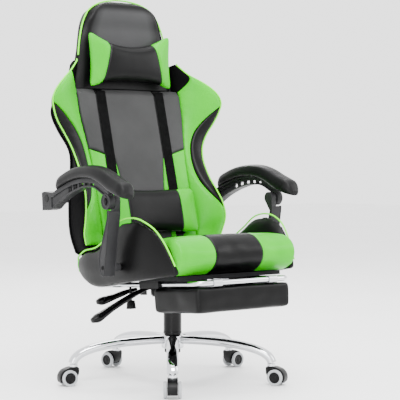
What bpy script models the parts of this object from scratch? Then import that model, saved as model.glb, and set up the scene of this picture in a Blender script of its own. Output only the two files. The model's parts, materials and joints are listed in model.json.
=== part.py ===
"""Gaming chair with linked armrests, a reclining back and a slide-out footrest.

Lengths are in metres, +Z is up and the sitter faces -Y, so the sitter's right is -X.
The column's axis is the Z axis and the floor is z = 0. Most places are written as
at(x, forward, up). The seat group is drawn level and then leaned back about the rock
axis, and the backrest is drawn upright above its own hinge.
"""

import math

import bmesh
import bpy
from mathutils import Matrix, Vector

# Base and casters
LEG_ANGLES = [36.76 + 72 * i for i in range(5)]  # degrees from forward, towards the sitter's right
CASTER_TOE = (0.0, -9.0, -14.0, 12.0, 9.0)  # how far each caster rests off its leg's line
CASTER_CIRCLE = 0.320  # column axis to caster stem
HUB_RADIUS = 0.035
HUB_BOTTOM, HUB_TOP = 0.100, 0.143
LEG_HUB_Z, LEG_END_Z = 0.1285, 0.052
LEG_BEND = 2.8  # power of the leg's superellipse: flat, then quickly down
LEG_WIDTH, LEG_HEIGHT = 0.040, 0.027
LEG_TIP_WIDTH, LEG_TIP_HEIGHT = 0.034, 0.026
WHEEL_RADIUS = 0.025
WHEEL_INNER, WHEEL_OUTER = 0.0166, 0.0266  # the wheel's faces, from the caster's middle
CASTER_TRAIL = 0.020
HOOD_HALF = 0.0158
STEM_RADIUS = 0.0055
STEM_TOP = 0.084
AXLE_RADIUS = 0.003

# Gas spring and column cover
CYLINDER_RADIUS = 0.014
CYLINDER_BOTTOM, CYLINDER_TOP = 0.108, 0.281
COLUMN_RADIUS = 0.025
COLUMN_BOTTOM, COLUMN_TOP = 0.088, 0.236
COVER_RADIUS = 0.0292
COVER_BOTTOM, COVER_TOP = 0.147, 0.262

# Tilt mechanism
ROCK_Z = 0.291  # height of the rock axis on the column's axis
SEAT_LEAN = math.radians(4.5)
HOUSING_HALF = 0.050
CHEEK_INNER, CHEEK_OUTER = 0.054, 0.058
HEIGHT_LEVER_FORWARD, HEIGHT_LEVER_X = -0.050, -0.030  # where the lever's shaft ends
RECLINE_LEVER_FORWARD, RECLINE_LEVER_X = -0.105, -0.066
KNOB_X, KNOB_FORWARD, KNOB_Z = -0.100, -0.088, 0.243

# Seat, drawn level
BOARD_BOTTOM, BOARD_TOP = 0.3195, 0.3315
BOARD_HALF = 0.195
CUSHION_HALF = 0.2095
BOLSTER_OUTER = ((-0.172, 0.242), (-0.12, 0.254), (0.0, 0.265), (0.14, 0.269), (0.24, 0.257),
                 (0.325, 0.229))
BOLSTER_RIDGE = ((-0.172, 0.397), (-0.12, 0.417), (-0.03, 0.430), (0.05, 0.470), (0.10, 0.500),
                 (0.158, 0.509), (0.22, 0.494), (0.27, 0.458), (0.30, 0.413), (0.325, 0.360))
BOLSTER_LOW = ((-0.172, 0.366), (-0.150, 0.344), (-0.10, 0.318), (0.10, 0.318), (0.325, 0.334))
SEAT_REAR = -0.122
RAIL_X, RAIL_Z, RAIL_RADIUS = 0.174, 0.309, 0.008
RAIL_REAR, BAR_FORWARD = -0.157, 0.356
RAIL_CORNER = 0.032
PAD_HALF = 0.177
PAD_REAR, PAD_BOTTOM, PAD_TOP = 0.137, 0.224, 0.2975

# Backrest, drawn upright above its hinge: forward and height are from the hinge axis
HINGE_FORWARD, HINGE_Z = -0.150, 0.372
BACK_LEAN = math.radians(10.5)
PANEL_FRONT = 0.069
FOAM_REAR = 0.0008
FRAME_FORWARD, FRAME_RADIUS = -0.0105, 0.0095
SHELL_FRONT = -0.0220
FRAME_FOOT_X = 0.134
PILLOW_LEAN = math.radians(12.0)  # the head pillow leans forward with the neck
PILLOW_MIDDLE = (0.098, 0.649)  # forward, height

# Knots of the backrest's outlines: height above the hinge, then the values at that height
SHELL_HALF = ((0.035, 0.235), (0.10, 0.247), (0.20, 0.238), (0.30, 0.216), (0.38, 0.208),
              (0.45, 0.240), (0.51, 0.256), (0.56, 0.236), (0.62, 0.182), (0.674, 0.155),
              (0.735, 0.141), (0.78, 0.128), (0.825, 0.094), (0.848, 0.058), (0.856, 0.030))
SHELL_DEPTH = ((0.035, 0.020), (0.07, 0.034), (0.20, 0.034), (0.38, 0.020), (0.50, 0.026),
               (0.62, 0.016), (0.83, 0.014), (0.856, 0.006))
NECK_BEND = ((0.475, 0.0), (0.508, 0.004), (0.54, 0.014), (0.57, 0.025), (0.60, 0.038),
             (0.63, 0.050), (0.66, 0.060), (0.69, 0.068), (0.72, 0.073), (0.75, 0.075))
CREASE_HALF = ((0.04, 0.182), (0.20, 0.186), (0.33, 0.187), (0.41, 0.194), (0.47, 0.201),
               (0.52, 0.203), (0.57, 0.203), (0.60, 0.197), (0.63, 0.189), (0.66, 0.184))
WING_EDGE_HALF = ((0.048, 0.262), (0.08, 0.273), (0.117, 0.277), (0.16, 0.272), (0.21, 0.261),
                  (0.25, 0.254), (0.29, 0.2515), (0.33, 0.2535), (0.373, 0.264), (0.41, 0.284),
                  (0.45, 0.313), (0.48, 0.328), (0.508, 0.334), (0.535, 0.322), (0.555, 0.304),
                  (0.58, 0.275), (0.61, 0.237), (0.65, 0.198))
WING_EDGE_FORWARD = ((0.048, 0.078), (0.08, 0.093), (0.117, 0.115), (0.16, 0.122),
                     (0.21, 0.113), (0.25, 0.099), (0.29, 0.087), (0.33, 0.078),
                     (0.373, 0.075), (0.41, 0.080), (0.45, 0.095), (0.48, 0.110),
                     (0.508, 0.122), (0.535, 0.127), (0.555, 0.125), (0.58, 0.116),
                     (0.61, 0.098), (0.65, 0.086))
HEAD_HALF = ((0.568, 0.199), (0.60, 0.194), (0.63, 0.186), (0.66, 0.180), (0.69, 0.174),
             (0.735, 0.165), (0.78, 0.151), (0.80, 0.141), (0.825, 0.121), (0.84, 0.096),
             (0.852, 0.060))
HEAD_FRONT = ((0.568, 0.052), (0.60, 0.0585), (0.63, 0.065), (0.66, 0.0710), (0.69, 0.078),
              (0.735, 0.088), (0.765, 0.095), (0.79, 0.110), (0.82, 0.116), (0.852, 0.092))

FRAME_HALF = ((0.0, FRAME_FOOT_X), (0.06, FRAME_FOOT_X), (0.30, 0.140), (0.50, 0.145),
              (0.66, 0.128), (0.76, 0.118), (0.80, 0.090))

# Heights of sections that neighbouring pieces of the back share, so that they stay apart
BACK_HEIGHTS = (0.08, 0.117, 0.16, 0.21, 0.26, 0.31, 0.36, 0.40, 0.44, 0.475, 0.508, 0.54)
NECK_HEIGHTS = (0.57, 0.60, 0.63, 0.66, 0.69, 0.72, 0.75)

# Arms, drawn level
ARM_X = 0.318
FRONT_PIVOT = (0.141, 0.560)  # forward, up
REAR_PIVOT_BACK = (0.004, 0.219)  # forward, up, from the recline axis on the upright back
POST_PIVOT = (0.110, 0.3665)
POST_INNER, POST_SPLIT, POST_OUTER = 0.292, 0.312, 0.334
LINK_INNER = 0.3145
# The line along the top of each arm's link, where its pad rests: forward, up
ARCH = ((-0.150, 0.603), (-0.128, 0.6105), (-0.105, 0.6170), (-0.065, 0.6275), (-0.02, 0.6350),
        (0.036, 0.6365), (0.085, 0.6290), (0.125, 0.6130), (0.160, 0.592), (0.195, 0.576),
        (0.225, 0.566), (0.240, 0.561))
LINK_TALL = (0.050, 0.046, 0.042, 0.038, 0.034, 0.028, 0.027, 0.032, 0.028)
ARM_PAD_WIDE = (0.030, 0.052, 0.060, 0.062, 0.062, 0.062, 0.062, 0.062, 0.062, 0.056, 0.034)
ARM_PAD_TALL = (0.020, 0.030, 0.034, 0.036, 0.037, 0.039, 0.041, 0.044, 0.044, 0.038, 0.022)
PIVOT_PIN = 0.006
OPEN_PIVOT_HOLE = 0.0105  # roomy, because this pivot of the four-bar linkage is left open

MATERIALS = {
    "chrome": ((0.78, 0.79, 0.80), 0.08, 1.0),
    "steel": ((0.55, 0.56, 0.58), 0.30, 1.0),
    "black_steel": ((0.03, 0.03, 0.032), 0.45, 0.4),
    "nylon": ((0.025, 0.025, 0.027), 0.45, 0.0),
    "wheel": ((0.62, 0.63, 0.65), 0.50, 0.0),
    "wood": ((0.55, 0.40, 0.24), 0.70, 0.0),
    "black_leather": ((0.03, 0.03, 0.032), 0.38, 0.0),
    "green_leather": ((0.22, 0.72, 0.06), 0.38, 0.0),
    "grey_leather": ((0.13, 0.13, 0.132), 0.50, 0.0),
    "strap": ((0.02, 0.02, 0.02), 0.80, 0.0),
    "arm_plastic": ((0.05, 0.05, 0.053), 0.42, 0.0),
}


def at(x, forward, up):
    """A point from its sideways, forward and upward distances."""
    return Vector((x, -forward, up))


def clear_scene():
    for obj in list(bpy.data.objects):
        bpy.data.objects.remove(obj, do_unlink=True)


def make_material(name):
    colour, roughness, metallic = MATERIALS[name]
    mat = bpy.data.materials.get(name) or bpy.data.materials.new(name)
    mat.use_nodes = True
    shader = mat.node_tree.nodes["Principled BSDF"]
    shader.inputs["Base Color"].default_value = (*colour, 1.0)
    shader.inputs["Roughness"].default_value = roughness
    shader.inputs["Metallic"].default_value = metallic
    return mat


def empty(name, parent=None, place=(0, 0, 0), lean=0.0, turn=0.0):
    """An empty: a frame that pieces are drawn in, or the axis of a joint."""
    obj = bpy.data.objects.new(name, None)
    bpy.context.scene.collection.objects.link(obj)
    obj.parent = parent
    obj.location = place
    obj.rotation_euler = (-lean, 0.0, turn)
    bpy.context.view_layer.update()
    return obj


def add(name, mesh, material, frame, mover=None):
    """One sub-part: its mesh is drawn in frame, and it moves with the empty mover."""
    obj = bpy.data.objects.new(name, mesh)
    bpy.context.scene.collection.objects.link(obj)
    if not mesh.materials:
        mesh.materials.append(make_material(material))
    mover = mover or frame
    obj.parent = mover
    obj.matrix_parent_inverse = mover.matrix_world.inverted() @ frame.matrix_world
    return obj


def to_mesh(bm, name="shape", smooth_angle=40.0):
    bmesh.ops.recalc_face_normals(bm, faces=bm.faces)
    mesh = bpy.data.meshes.new(name)
    bm.to_mesh(mesh)
    bm.free()
    mesh.shade_smooth()
    mesh.set_sharp_from_angle(angle=math.radians(smooth_angle))
    return mesh


def combine(first, second, operation):
    """The mesh of two closed meshes after an exact Boolean."""
    bodies = []
    for mesh in (first, second):
        obj = bpy.data.objects.new("helper", mesh)
        bpy.context.scene.collection.objects.link(obj)
        bodies.append(obj)
    boolean = bodies[0].modifiers.new("boolean", "BOOLEAN")
    boolean.operation = operation
    boolean.solver = "EXACT"
    boolean.object = bodies[1]
    bpy.context.view_layer.update()
    graph = bpy.context.evaluated_depsgraph_get()
    result = bpy.data.meshes.new_from_object(bodies[0].evaluated_get(graph))
    for obj in bodies:
        bpy.data.objects.remove(obj, do_unlink=True)
    result.set_sharp_from_angle(angle=math.radians(40.0))
    return result


def turned(profile, segments=24, about="Z"):
    """A solid of revolution. The profile is a list of (radius, height): a closed loop
    when it keeps off the axis, or a line from axis to axis."""
    bm = bmesh.new()
    verts = [bm.verts.new((radius, 0.0, height)) for radius, height in profile]
    edges = [bm.edges.new(pair) for pair in zip(verts, verts[1:])]
    if profile[0][0] > 0 and profile[-1][0] > 0:
        edges.append(bm.edges.new((verts[-1], verts[0])))
    bmesh.ops.spin(bm, geom=verts + edges, cent=(0, 0, 0), axis=(0, 0, 1),
                   angle=2 * math.pi, steps=segments, use_merge=True)
    bmesh.ops.remove_doubles(bm, verts=bm.verts, dist=1e-5)
    if about == "X":
        bmesh.ops.rotate(bm, verts=bm.verts, cent=(0, 0, 0),
                         matrix=Matrix.Rotation(math.pi / 2, 3, "Y"))
    return to_mesh(bm)


def ring_tube(inner, outer, bottom, top, segments=24):
    return turned([(inner, bottom), (outer, bottom), (outer, top), (inner, top)], segments)


def rod_x(radius, x_from, x_to, forward, up, segments=16):
    """A round bar along X."""
    low, high = sorted((x_from, x_to))
    mesh = turned([(0, low), (radius, low), (radius, high), (0, high)], segments, about="X")
    mesh.transform(Matrix.Translation(at(0, forward, up)))
    return mesh


def loft(rings):
    """A closed solid through rings of equally many points, capped at both ends."""
    bm = bmesh.new()
    rows = [[bm.verts.new(point) for point in ring] for ring in rings]
    count = len(rows[0])
    for low, high in zip(rows, rows[1:]):
        for i in range(count):
            j = (i + 1) % count
            bm.faces.new((low[i], low[j], high[j], high[i]))
    bm.faces.new(rows[0])
    bm.faces.new(rows[-1])
    return to_mesh(bm)


def plate_x(outline, x_from, x_to):
    """An outline of (forward, up) points, extruded along X."""
    return loft([[at(x, f, z) for f, z in outline] for x in (x_from, x_to)])


def block(x_from, x_to, f_from, f_to, z_from, z_to):
    outline = [(f_from, z_from), (f_to, z_from), (f_to, z_to), (f_from, z_to)]
    return plate_x(outline, x_from, x_to)


def rounded(width, height, radius, steps=2):
    """A rounded rectangle about the origin, as (across, up) points."""
    points = []
    centres = ((1, 1), (-1, 1), (-1, -1), (1, -1))
    for quarter, (sx, sy) in enumerate(centres):
        for step in range(steps + 1):
            angle = math.pi / 2 * (quarter + step / steps)
            points.append((sx * (width / 2 - radius) + radius * math.cos(angle),
                           sy * (height / 2 - radius) + radius * math.sin(angle)))
    return points


def along(knots, t):
    """Smooth reading of a table of (position, value) knots at position t."""
    if t <= knots[0][0]:
        return knots[0][1]
    if t >= knots[-1][0]:
        return knots[-1][1]
    i = max(k for k in range(len(knots) - 1) if knots[k][0] <= t)
    (t0, v0), (t1, v1) = knots[i], knots[i + 1]
    before = knots[max(i - 1, 0)]
    after = knots[min(i + 2, len(knots) - 1)]
    slope0 = (v1 - before[1]) / (t1 - before[0]) * (t1 - t0)
    slope1 = (after[1] - v0) / (after[0] - t0) * (t1 - t0)
    u = (t - t0) / (t1 - t0)
    return ((2 * u**3 - 3 * u**2 + 1) * v0 + (u**3 - 2 * u**2 + u) * slope0
            + (3 * u**2 - 2 * u**3) * v1 + (u**3 - u**2) * slope1)


def spread(start, stop, count):
    return [start + (stop - start) * i / (count - 1) for i in range(count)]


def arc(centre, radius, start, stop, count):
    """Points on a circular arc, in the (forward, up) plane, angles in degrees from forward."""
    return [(centre[0] + radius * math.cos(math.radians(a)),
             centre[1] + radius * math.sin(math.radians(a)))
            for a in spread(start, stop, count)]


def swept(path, sections):
    """A loft of (across, up) sections, each square to a path of points in a plane x = const."""
    rings = []
    for i, point in enumerate(path):
        ahead = path[min(i + 1, len(path) - 1)] - path[max(i - 1, 0)]
        ahead.normalize()
        up = Vector((1, 0, 0)).cross(ahead).normalized()
        up = up if up.z >= 0 else -up
        rings.append([point + Vector((a, 0, 0)) + up * b for a, b in sections[i]])
    return loft(rings)


# ---------------------------------------------------------------- base and casters

def leg_point(radius):
    """The leg's centre line, (distance from the column axis, height)."""
    share = min(radius / (CASTER_CIRCLE + 0.0035), 1.0)
    drop = (1 - share**LEG_BEND) ** (1 / LEG_BEND)
    return radius, LEG_END_Z + (LEG_HUB_Z - LEG_END_Z) * drop


def leg_mesh(angle):
    radii = (0.030, 0.060, 0.11, 0.17, 0.22, 0.26, 0.288, 0.306, 0.316, 0.3215)
    path = [at(0, *leg_point(r)) for r in radii]
    sections = []
    for r in radii:
        taper = r / radii[-1]
        wide = LEG_WIDTH + (LEG_TIP_WIDTH - LEG_WIDTH) * taper
        wide = min(wide, 0.030 + (r - 0.030) * 0.4)
        tall = LEG_HEIGHT + (LEG_TIP_HEIGHT - LEG_HEIGHT) * taper
        sections.append(rounded(wide, tall, 0.009))
    mesh = swept(path, sections)
    mesh.transform(Matrix.Rotation(-math.radians(angle), 4, "Z"))
    return mesh


def star_base_mesh():
    mesh = turned([(0.0256, HUB_BOTTOM), (HUB_RADIUS - 0.003, HUB_BOTTOM),
                   (HUB_RADIUS, HUB_BOTTOM + 0.004), (HUB_RADIUS, HUB_TOP - 0.003),
                   (HUB_RADIUS - 0.002, HUB_TOP), (0.0256, HUB_TOP)], 32)
    for angle in LEG_ANGLES:
        mesh = combine(mesh, leg_mesh(angle), "UNION")
    for angle in LEG_ANGLES:
        socket = socket_mesh()
        socket.transform(Matrix.Translation(leg_end(angle)))
        mesh = combine(mesh, socket, "DIFFERENCE")
    return mesh


def socket_mesh():
    """The hole in a leg's end that takes a caster's stem."""
    return turned([(0, 0.03), (STEM_RADIUS + 0.0005, 0.03), (STEM_RADIUS + 0.0005, STEM_TOP + 0.0015),
                   (0, STEM_TOP + 0.0015)], 16)


def leg_end(angle):
    turn = math.radians(angle)
    return Vector((-CASTER_CIRCLE * math.sin(turn), -CASTER_CIRCLE * math.cos(turn), 0.0))


def hood_mesh():
    """The caster's nylon hood with its stem and axle, trailing forward, floor at z = 0."""
    wheel = (CASTER_TRAIL, WHEEL_RADIUS)
    fender = arc(wheel, 0.0295, -28, 72, 8)
    outline = fender + [(0.018, 0.0575), (-0.011, 0.0575), (-0.014, 0.053), (-0.012, 0.034),
                        (0.000, 0.016), (0.020, 0.010)]
    hood = plate_x(outline, -HOOD_HALF, HOOD_HALF)
    stem = turned([(0, 0.050), (0.009, 0.050), (0.009, 0.0600), (STEM_RADIUS, 0.0602),
                   (STEM_RADIUS, STEM_TOP), (0, STEM_TOP)], 16)
    hood = combine(hood, stem, "UNION")
    axle = rod_x(AXLE_RADIUS, -WHEEL_OUTER + 0.0035, WHEEL_OUTER - 0.0035, *wheel, segments=8)
    return combine(hood, axle, "UNION")


def wheel_mesh(side):
    """One wheel of a caster on its axle, at +X or -X."""
    bore = AXLE_RADIUS + 0.0005
    tread = WHEEL_RADIUS
    mesh = turned([(0, WHEEL_OUTER - 0.001), (0.0165, WHEEL_OUTER - 0.001),
                   (0.0225, WHEEL_OUTER), (tread, WHEEL_OUTER - 0.003),
                   (tread, WHEEL_INNER + 0.002), (0.0225, WHEEL_INNER), (bore, WHEEL_INNER),
                   (bore, WHEEL_OUTER - 0.003), (0, WHEEL_OUTER - 0.003)], 16, about="X")
    if side < 0:
        mesh.transform(Matrix.Rotation(math.pi, 4, "Z"))
    return mesh


def build_casters(chair):
    hood = hood_mesh()
    wheels = {"right": wheel_mesh(-1), "left": wheel_mesh(1)}
    for number, (angle, toe) in enumerate(zip(LEG_ANGLES, CASTER_TOE), start=1):
        turn = -math.radians(angle + toe)
        swivel = empty(f"caster_{number}_swivel_axis", chair, leg_end(angle), turn=turn)
        add(f"caster_{number}_hood", hood, "nylon", swivel)
        axle = empty(f"caster_{number}_axle_axis", swivel, at(0, CASTER_TRAIL, WHEEL_RADIUS))
        for side, wheel in wheels.items():
            add(f"caster_{number}_wheel_{side}", wheel, "wheel", axle)


def build_gas_spring(chair):
    flange = 0.004
    add("star_base", star_base_mesh(), "chrome", chair)
    tube = turned([(0.0085, COLUMN_BOTTOM), (COLUMN_RADIUS, COLUMN_BOTTOM),
                   (COLUMN_RADIUS, COLUMN_TOP), (0.022, COLUMN_TOP),
                   (0.022, COLUMN_BOTTOM + flange), (0.0085, COLUMN_BOTTOM + flange)])
    add("column_tube", tube, "black_steel", chair)
    bush = ring_tube(CYLINDER_RADIUS + 0.0004, 0.0216, 0.190, COLUMN_TOP)
    add("guide_bush", bush, "nylon", chair)
    bearing = ring_tube(0.0085, 0.0165, COLUMN_BOTTOM + flange + 0.0003, 0.0980)
    add("thrust_bearing", bearing, "steel", chair)
    lower = ring_tube(0.0255, 0.0270, HUB_TOP + 0.0004, 0.250)
    add("column_cover_lower", lower, "nylon", chair)

    swivel = empty("seat_swivel_axis", chair)
    rod = turned([(0, 0.082), (0.005, 0.082), (0.005, 0.0984), (0.012, 0.0984),
                  (0.012, 0.102), (0.005, 0.102), (0.005, 0.200), (0, 0.200)], 16)
    add("piston_rod", rod, "steel", chair, swivel)
    clip = ring_tube(0.0053, 0.011, 0.0845, COLUMN_BOTTOM - 0.0004, 16)
    add("retaining_clip", clip, "steel", chair, swivel)
    return empty("lift_axis", swivel)


def build_mechanism(chair, lift):
    add("gas_cylinder", gas_cylinder_mesh(), "black_steel", chair, lift)
    cover = ring_tube(0.0276, COVER_RADIUS, COVER_BOTTOM, COVER_TOP, 32)
    add("column_cover_upper", cover, "nylon", chair, lift)
    add("mechanism_housing", housing_mesh(), "black_steel", chair, lift)
    pin_axis = empty("release_pin_axis", lift, at(0, 0, CYLINDER_TOP))
    pin = turned([(0, 0.270), (0.0035, 0.270), (0.0035, 0.289), (0, 0.289)], 12)
    add("release_pin", pin, "steel", chair, pin_axis)


def gas_cylinder_mesh():
    """The gas cylinder: a bore from below for the rod, a well on top for the release pin."""
    bore = 0.0064
    body = turned([(0, CYLINDER_BOTTOM), (CYLINDER_RADIUS, CYLINDER_BOTTOM),
                   (CYLINDER_RADIUS, CYLINDER_TOP), (0, CYLINDER_TOP)])
    lower = turned([(0, 0.09), (bore, 0.09), (bore, 0.206), (0, 0.206)], 16)
    upper = turned([(0, 0.262), (0.0045, 0.262), (0.0045, 0.30), (0, 0.30)], 12)
    return combine(combine(body, lower, "DIFFERENCE"), upper, "DIFFERENCE")


def housing_mesh():
    """The fixed half of the tilt mechanism: a block on the gas cylinder's taper with two
    ears, whose trunnions carry the rocking half."""
    top = 0.279
    mesh = block(-HOUSING_HALF, HOUSING_HALF, -0.040, 0.062, COVER_TOP + 0.0005, top)
    bore = turned([(0, 0.2), (CYLINDER_RADIUS + 0.0004, 0.2), (CYLINDER_RADIUS + 0.0004, 0.32),
                   (0, 0.32)])
    mesh = combine(mesh, bore, "DIFFERENCE")
    groove = block(HEIGHT_LEVER_X - 0.008, HEIGHT_LEVER_X + 0.008, -0.05, -0.012, 0.272, 0.30)
    mesh = combine(mesh, groove, "DIFFERENCE")
    for side in (-1, 1):
        ear = block(side * 0.042, side * HOUSING_HALF, -0.012, 0.012, top - 0.004, 0.300)
        trunnion = rod_x(0.005, side * 0.044, side * 0.061, 0, ROCK_Z)
        mesh = combine(combine(mesh, ear, "UNION"), trunnion, "UNION")
    return mesh


# ---------------------------------------------------------------- seat

def seat_plate_mesh():
    """The rocking half: a sheet bolted under the board, with a cheek on each side."""
    sheet = 0.0155
    under = BOARD_BOTTOM - 0.0005
    mesh = block(-0.105, 0.105, -0.130, 0.125, under - 0.0035, under)
    for side in (-1, 1):
        cheek = block(side * CHEEK_INNER, side * CHEEK_OUTER, -0.095, 0.095,
                      ROCK_Z - sheet - 0.005, under - 0.001)
        hole = rod_x(0.0057, side * 0.05, side * 0.065, 0, ROCK_Z, 20)
        mesh = combine(mesh, combine(cheek, hole, "DIFFERENCE"), "UNION")
    notch = block(-0.065, -0.050, HEIGHT_LEVER_FORWARD - 0.013, HEIGHT_LEVER_FORWARD + 0.013, 0.26, 0.308)
    return combine(mesh, notch, "DIFFERENCE")


def cushion_mesh():
    """The seat's middle cushion: its side outline, with the rounded nose at the front."""
    nose = arc((0.290, 0.388), 0.055, -64, 62, 9)
    outline = [(SEAT_REAR, 0.332)] + [(0.30, 0.332)] + nose
    outline += [(0.22, 0.444), (0.10, 0.430), (-0.02, 0.418), (SEAT_REAR, 0.410)]
    return plate_x(outline, -CUSHION_HALF, CUSHION_HALF)


def bolster_mesh(side):
    rings = []
    inner = CUSHION_HALF + 0.0006
    for forward in (-0.172, -0.150) + tuple(spread(-0.12, 0.325, 14)):
        outer = along(BOLSTER_OUTER, forward)
        ridge = along(BOLSTER_RIDGE, forward)
        low = along(BOLSTER_LOW, forward)
        wide = outer - inner
        middle = low + 0.6 * (ridge - low)
        section = [(inner, low), (outer - 0.004, low), (outer, low + 0.012), (outer, middle),
                   (outer - 0.1 * wide, ridge - 0.006), (outer - 0.26 * wide, ridge),
                   (outer - 0.5 * wide, ridge - 0.2 * (ridge - 0.40)),
                   (inner, min(0.405, ridge - 0.012))]
        rings.append([at(side * x, forward, z) for x, z in section])
    return loft(rings)


def rail_guide_mesh(side):
    x = side * RAIL_X
    mesh = block(x - 0.015, x + 0.015, 0.087, 0.183, 0.2975, BOARD_BOTTOM - 0.0005)
    bore = turned([(0, -0.05), (RAIL_RADIUS + 0.0006, -0.05), (RAIL_RADIUS + 0.0006, 0.30),
                   (0, 0.30)], 20)
    bore.transform(Matrix.Translation(at(x, 0, RAIL_Z)) @ Matrix.Rotation(math.pi / 2, 4, "X"))
    return combine(mesh, bore, "DIFFERENCE")


def hinge_bracket_mesh(side):
    """The seat's half of a recline hinge: a plate from under the board to the hinge axis."""
    outline = [(-0.020, 0.3185), (-0.020, 0.3035), (-0.128, 0.3035)]
    outline += arc((HINGE_FORWARD, HINGE_Z), 0.019, 200, 10, 8)
    outline += [(-0.1275, 0.345), (-0.124, 0.3185)]
    mesh = plate_x(outline, side * 0.1505, side * 0.1565)
    hole = rod_x(0.0068, side * 0.14, side * 0.17, HINGE_FORWARD, HINGE_Z, 20)
    return combine(mesh, hole, "DIFFERENCE")


def build_seat(seat):
    add("seat_plate", seat_plate_mesh(), "black_steel", seat)
    board = block(-BOARD_HALF, BOARD_HALF, SEAT_REAR + 0.006, 0.292, BOARD_BOTTOM, BOARD_TOP)
    add("seat_board", board, "wood", seat)
    add("seat_cushion", cushion_mesh(), "black_leather", seat)
    for name, side in (("left", 1), ("right", -1)):
        add(f"seat_bolster_{name}", bolster_mesh(side), "black_leather", seat)
        add(f"rail_guide_{name}", rail_guide_mesh(side), "black_steel", seat)
        add(f"hinge_bracket_{name}", hinge_bracket_mesh(side), "black_steel", seat)


def lever_mesh(route, widths, heights):
    """A bent lever that tapers along its route of (x, forward, up) points."""
    path = [at(*point) for point in route]
    rings = []
    for i, point in enumerate(path):
        ahead = path[min(i + 1, len(path) - 1)] - path[max(i - 1, 0)]
        across = Vector((0, 1, 0))
        up = ahead.cross(across).normalized()
        across = up.cross(ahead).normalized()
        section = rounded(widths[i], heights[i], min(widths[i], heights[i]) * 0.42)
        rings.append([point + across * a + up * b for a, b in section])
    return loft(rings)


def build_levers(seat):
    f = HEIGHT_LEVER_FORWARD
    height_axis = empty("height_lever_axis", seat, at(HEIGHT_LEVER_X, f, ROCK_Z + 0.0015))
    route = [(HEIGHT_LEVER_X, f, 0.2925), (-0.065, f, 0.2905), (-0.105, f, 0.279),
             (-0.150, f + 0.002, 0.261), (-0.200, f + 0.006, 0.240), (-0.240, f + 0.010, 0.222),
             (-0.262, f + 0.012, 0.212), (-0.282, f + 0.013, 0.206)]
    handle = lever_mesh(route, (0.009, 0.009, 0.010, 0.011, 0.013, 0.020, 0.023, 0.012),
                        (0.008, 0.008, 0.010, 0.010, 0.011, 0.013, 0.014, 0.008))
    shaft = loft([[at(HEIGHT_LEVER_X + a, g, 0.2925 + b) for a, b in rounded(0.008, 0.008, 0.003)]
                  for g in (f - 0.006, 0.0055)])
    finger = block(HEIGHT_LEVER_X - 0.003, 0.006, -0.005, 0.005, 0.2903, 0.2947)
    handle = combine(combine(handle, shaft, "UNION"), finger, "UNION")
    add("height_lever", handle, "nylon", seat, height_axis)

    g, x = RECLINE_LEVER_FORWARD, RECLINE_LEVER_X
    recline_lever_axis = empty("recline_lever_axis", seat, at(x, g, 0.289))
    route = [(x, g, 0.289), (-0.090, g, 0.286), (-0.120, g, 0.279), (-0.150, g, 0.271),
             (-0.180, g, 0.264), (-0.200, g, 0.260), (-0.216, g, 0.258)]
    lever = lever_mesh(route, (0.014, 0.010, 0.010, 0.012, 0.018, 0.020, 0.010),
                       (0.012, 0.010, 0.010, 0.010, 0.012, 0.012, 0.007))
    add("recline_lever", lever, "nylon", seat, recline_lever_axis)

    knob_place = at(KNOB_X, KNOB_FORWARD, KNOB_Z)
    knob_axis = empty("tension_knob_axis", seat, knob_place)
    knob = turned([(0, -0.0135), (0.0150, -0.0135), (0.0158, -0.010), (0.0125, 0.012),
                   (0.004, 0.0145), (0.004, 0.0715), (0, 0.0715)], 20)
    knob.transform(Matrix.Translation(knob_place))
    add("tension_knob", knob, "nylon", seat, knob_axis)


# ---------------------------------------------------------------- footrest

def rails_mesh():
    """One bent tube: a side rail, the front bar and the other side rail."""
    corner = [(RAIL_X - RAIL_CORNER + RAIL_CORNER * math.cos(math.radians(a)),
               BAR_FORWARD - RAIL_CORNER + RAIL_CORNER * math.sin(math.radians(a)))
              for a in spread(0, 90, 7)]
    half = [(RAIL_X, RAIL_REAR), (RAIL_X, 0.08), (RAIL_X, 0.20)] + corner
    route = half + [(-x, f) for x, f in reversed(half)]
    curve = bpy.data.curves.new("rails", "CURVE")
    curve.dimensions = "3D"
    curve.bevel_depth = RAIL_RADIUS
    curve.bevel_resolution = 3
    curve.use_fill_caps = True
    spline = curve.splines.new("POLY")
    spline.points.add(len(route) - 1)
    for point, (x, f) in zip(spline.points, route):
        point.co = (*at(x, f, RAIL_Z), 1.0)
    helper = bpy.data.objects.new("helper", curve)
    bpy.context.scene.collection.objects.link(helper)
    bpy.context.view_layer.update()
    graph = bpy.context.evaluated_depsgraph_get()
    mesh = bpy.data.meshes.new_from_object(helper.evaluated_get(graph))
    bpy.data.objects.remove(helper, do_unlink=True)
    bm = bmesh.new()
    bm.from_mesh(mesh)
    bmesh.ops.remove_doubles(bm, verts=bm.verts, dist=1e-5)
    return to_mesh(bm)


def clip_mesh(side):
    """A saddle that turns on the front bar and holds the pad under it."""
    x = side * 0.105
    ring = turned([(RAIL_RADIUS + 0.0005, -0.016), (0.0112, -0.016), (0.0112, 0.016),
                   (RAIL_RADIUS + 0.0005, 0.016)], 20, about="X")
    ring.transform(Matrix.Translation(at(x, BAR_FORWARD, RAIL_Z)))
    tab = block(x - 0.016, x + 0.016, 0.290, BAR_FORWARD - 0.002, PAD_TOP + 0.0004, 0.3004)
    return combine(ring, tab, "UNION")


def build_footrest(seat):
    slide = empty("footrest_slide_axis", seat, at(0, BAR_FORWARD, RAIL_Z))
    flip = empty("footrest_flip_axis", slide)
    add("footrest_rails", rails_mesh(), "chrome", seat, slide)
    pad = block(-PAD_HALF, PAD_HALF, PAD_REAR, BAR_FORWARD, PAD_BOTTOM, PAD_TOP)
    obj = add("footrest_pad", pad, "black_leather", seat, flip)
    bevel = obj.modifiers.new("rounded_edges", "BEVEL")
    bevel.width = 0.009
    bevel.segments = 2
    bevel.limit_method = "NONE"
    for name, side in (("left", 1), ("right", -1)):
        add(f"footrest_clip_{name}", clip_mesh(side), "steel", seat, flip)


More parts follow.
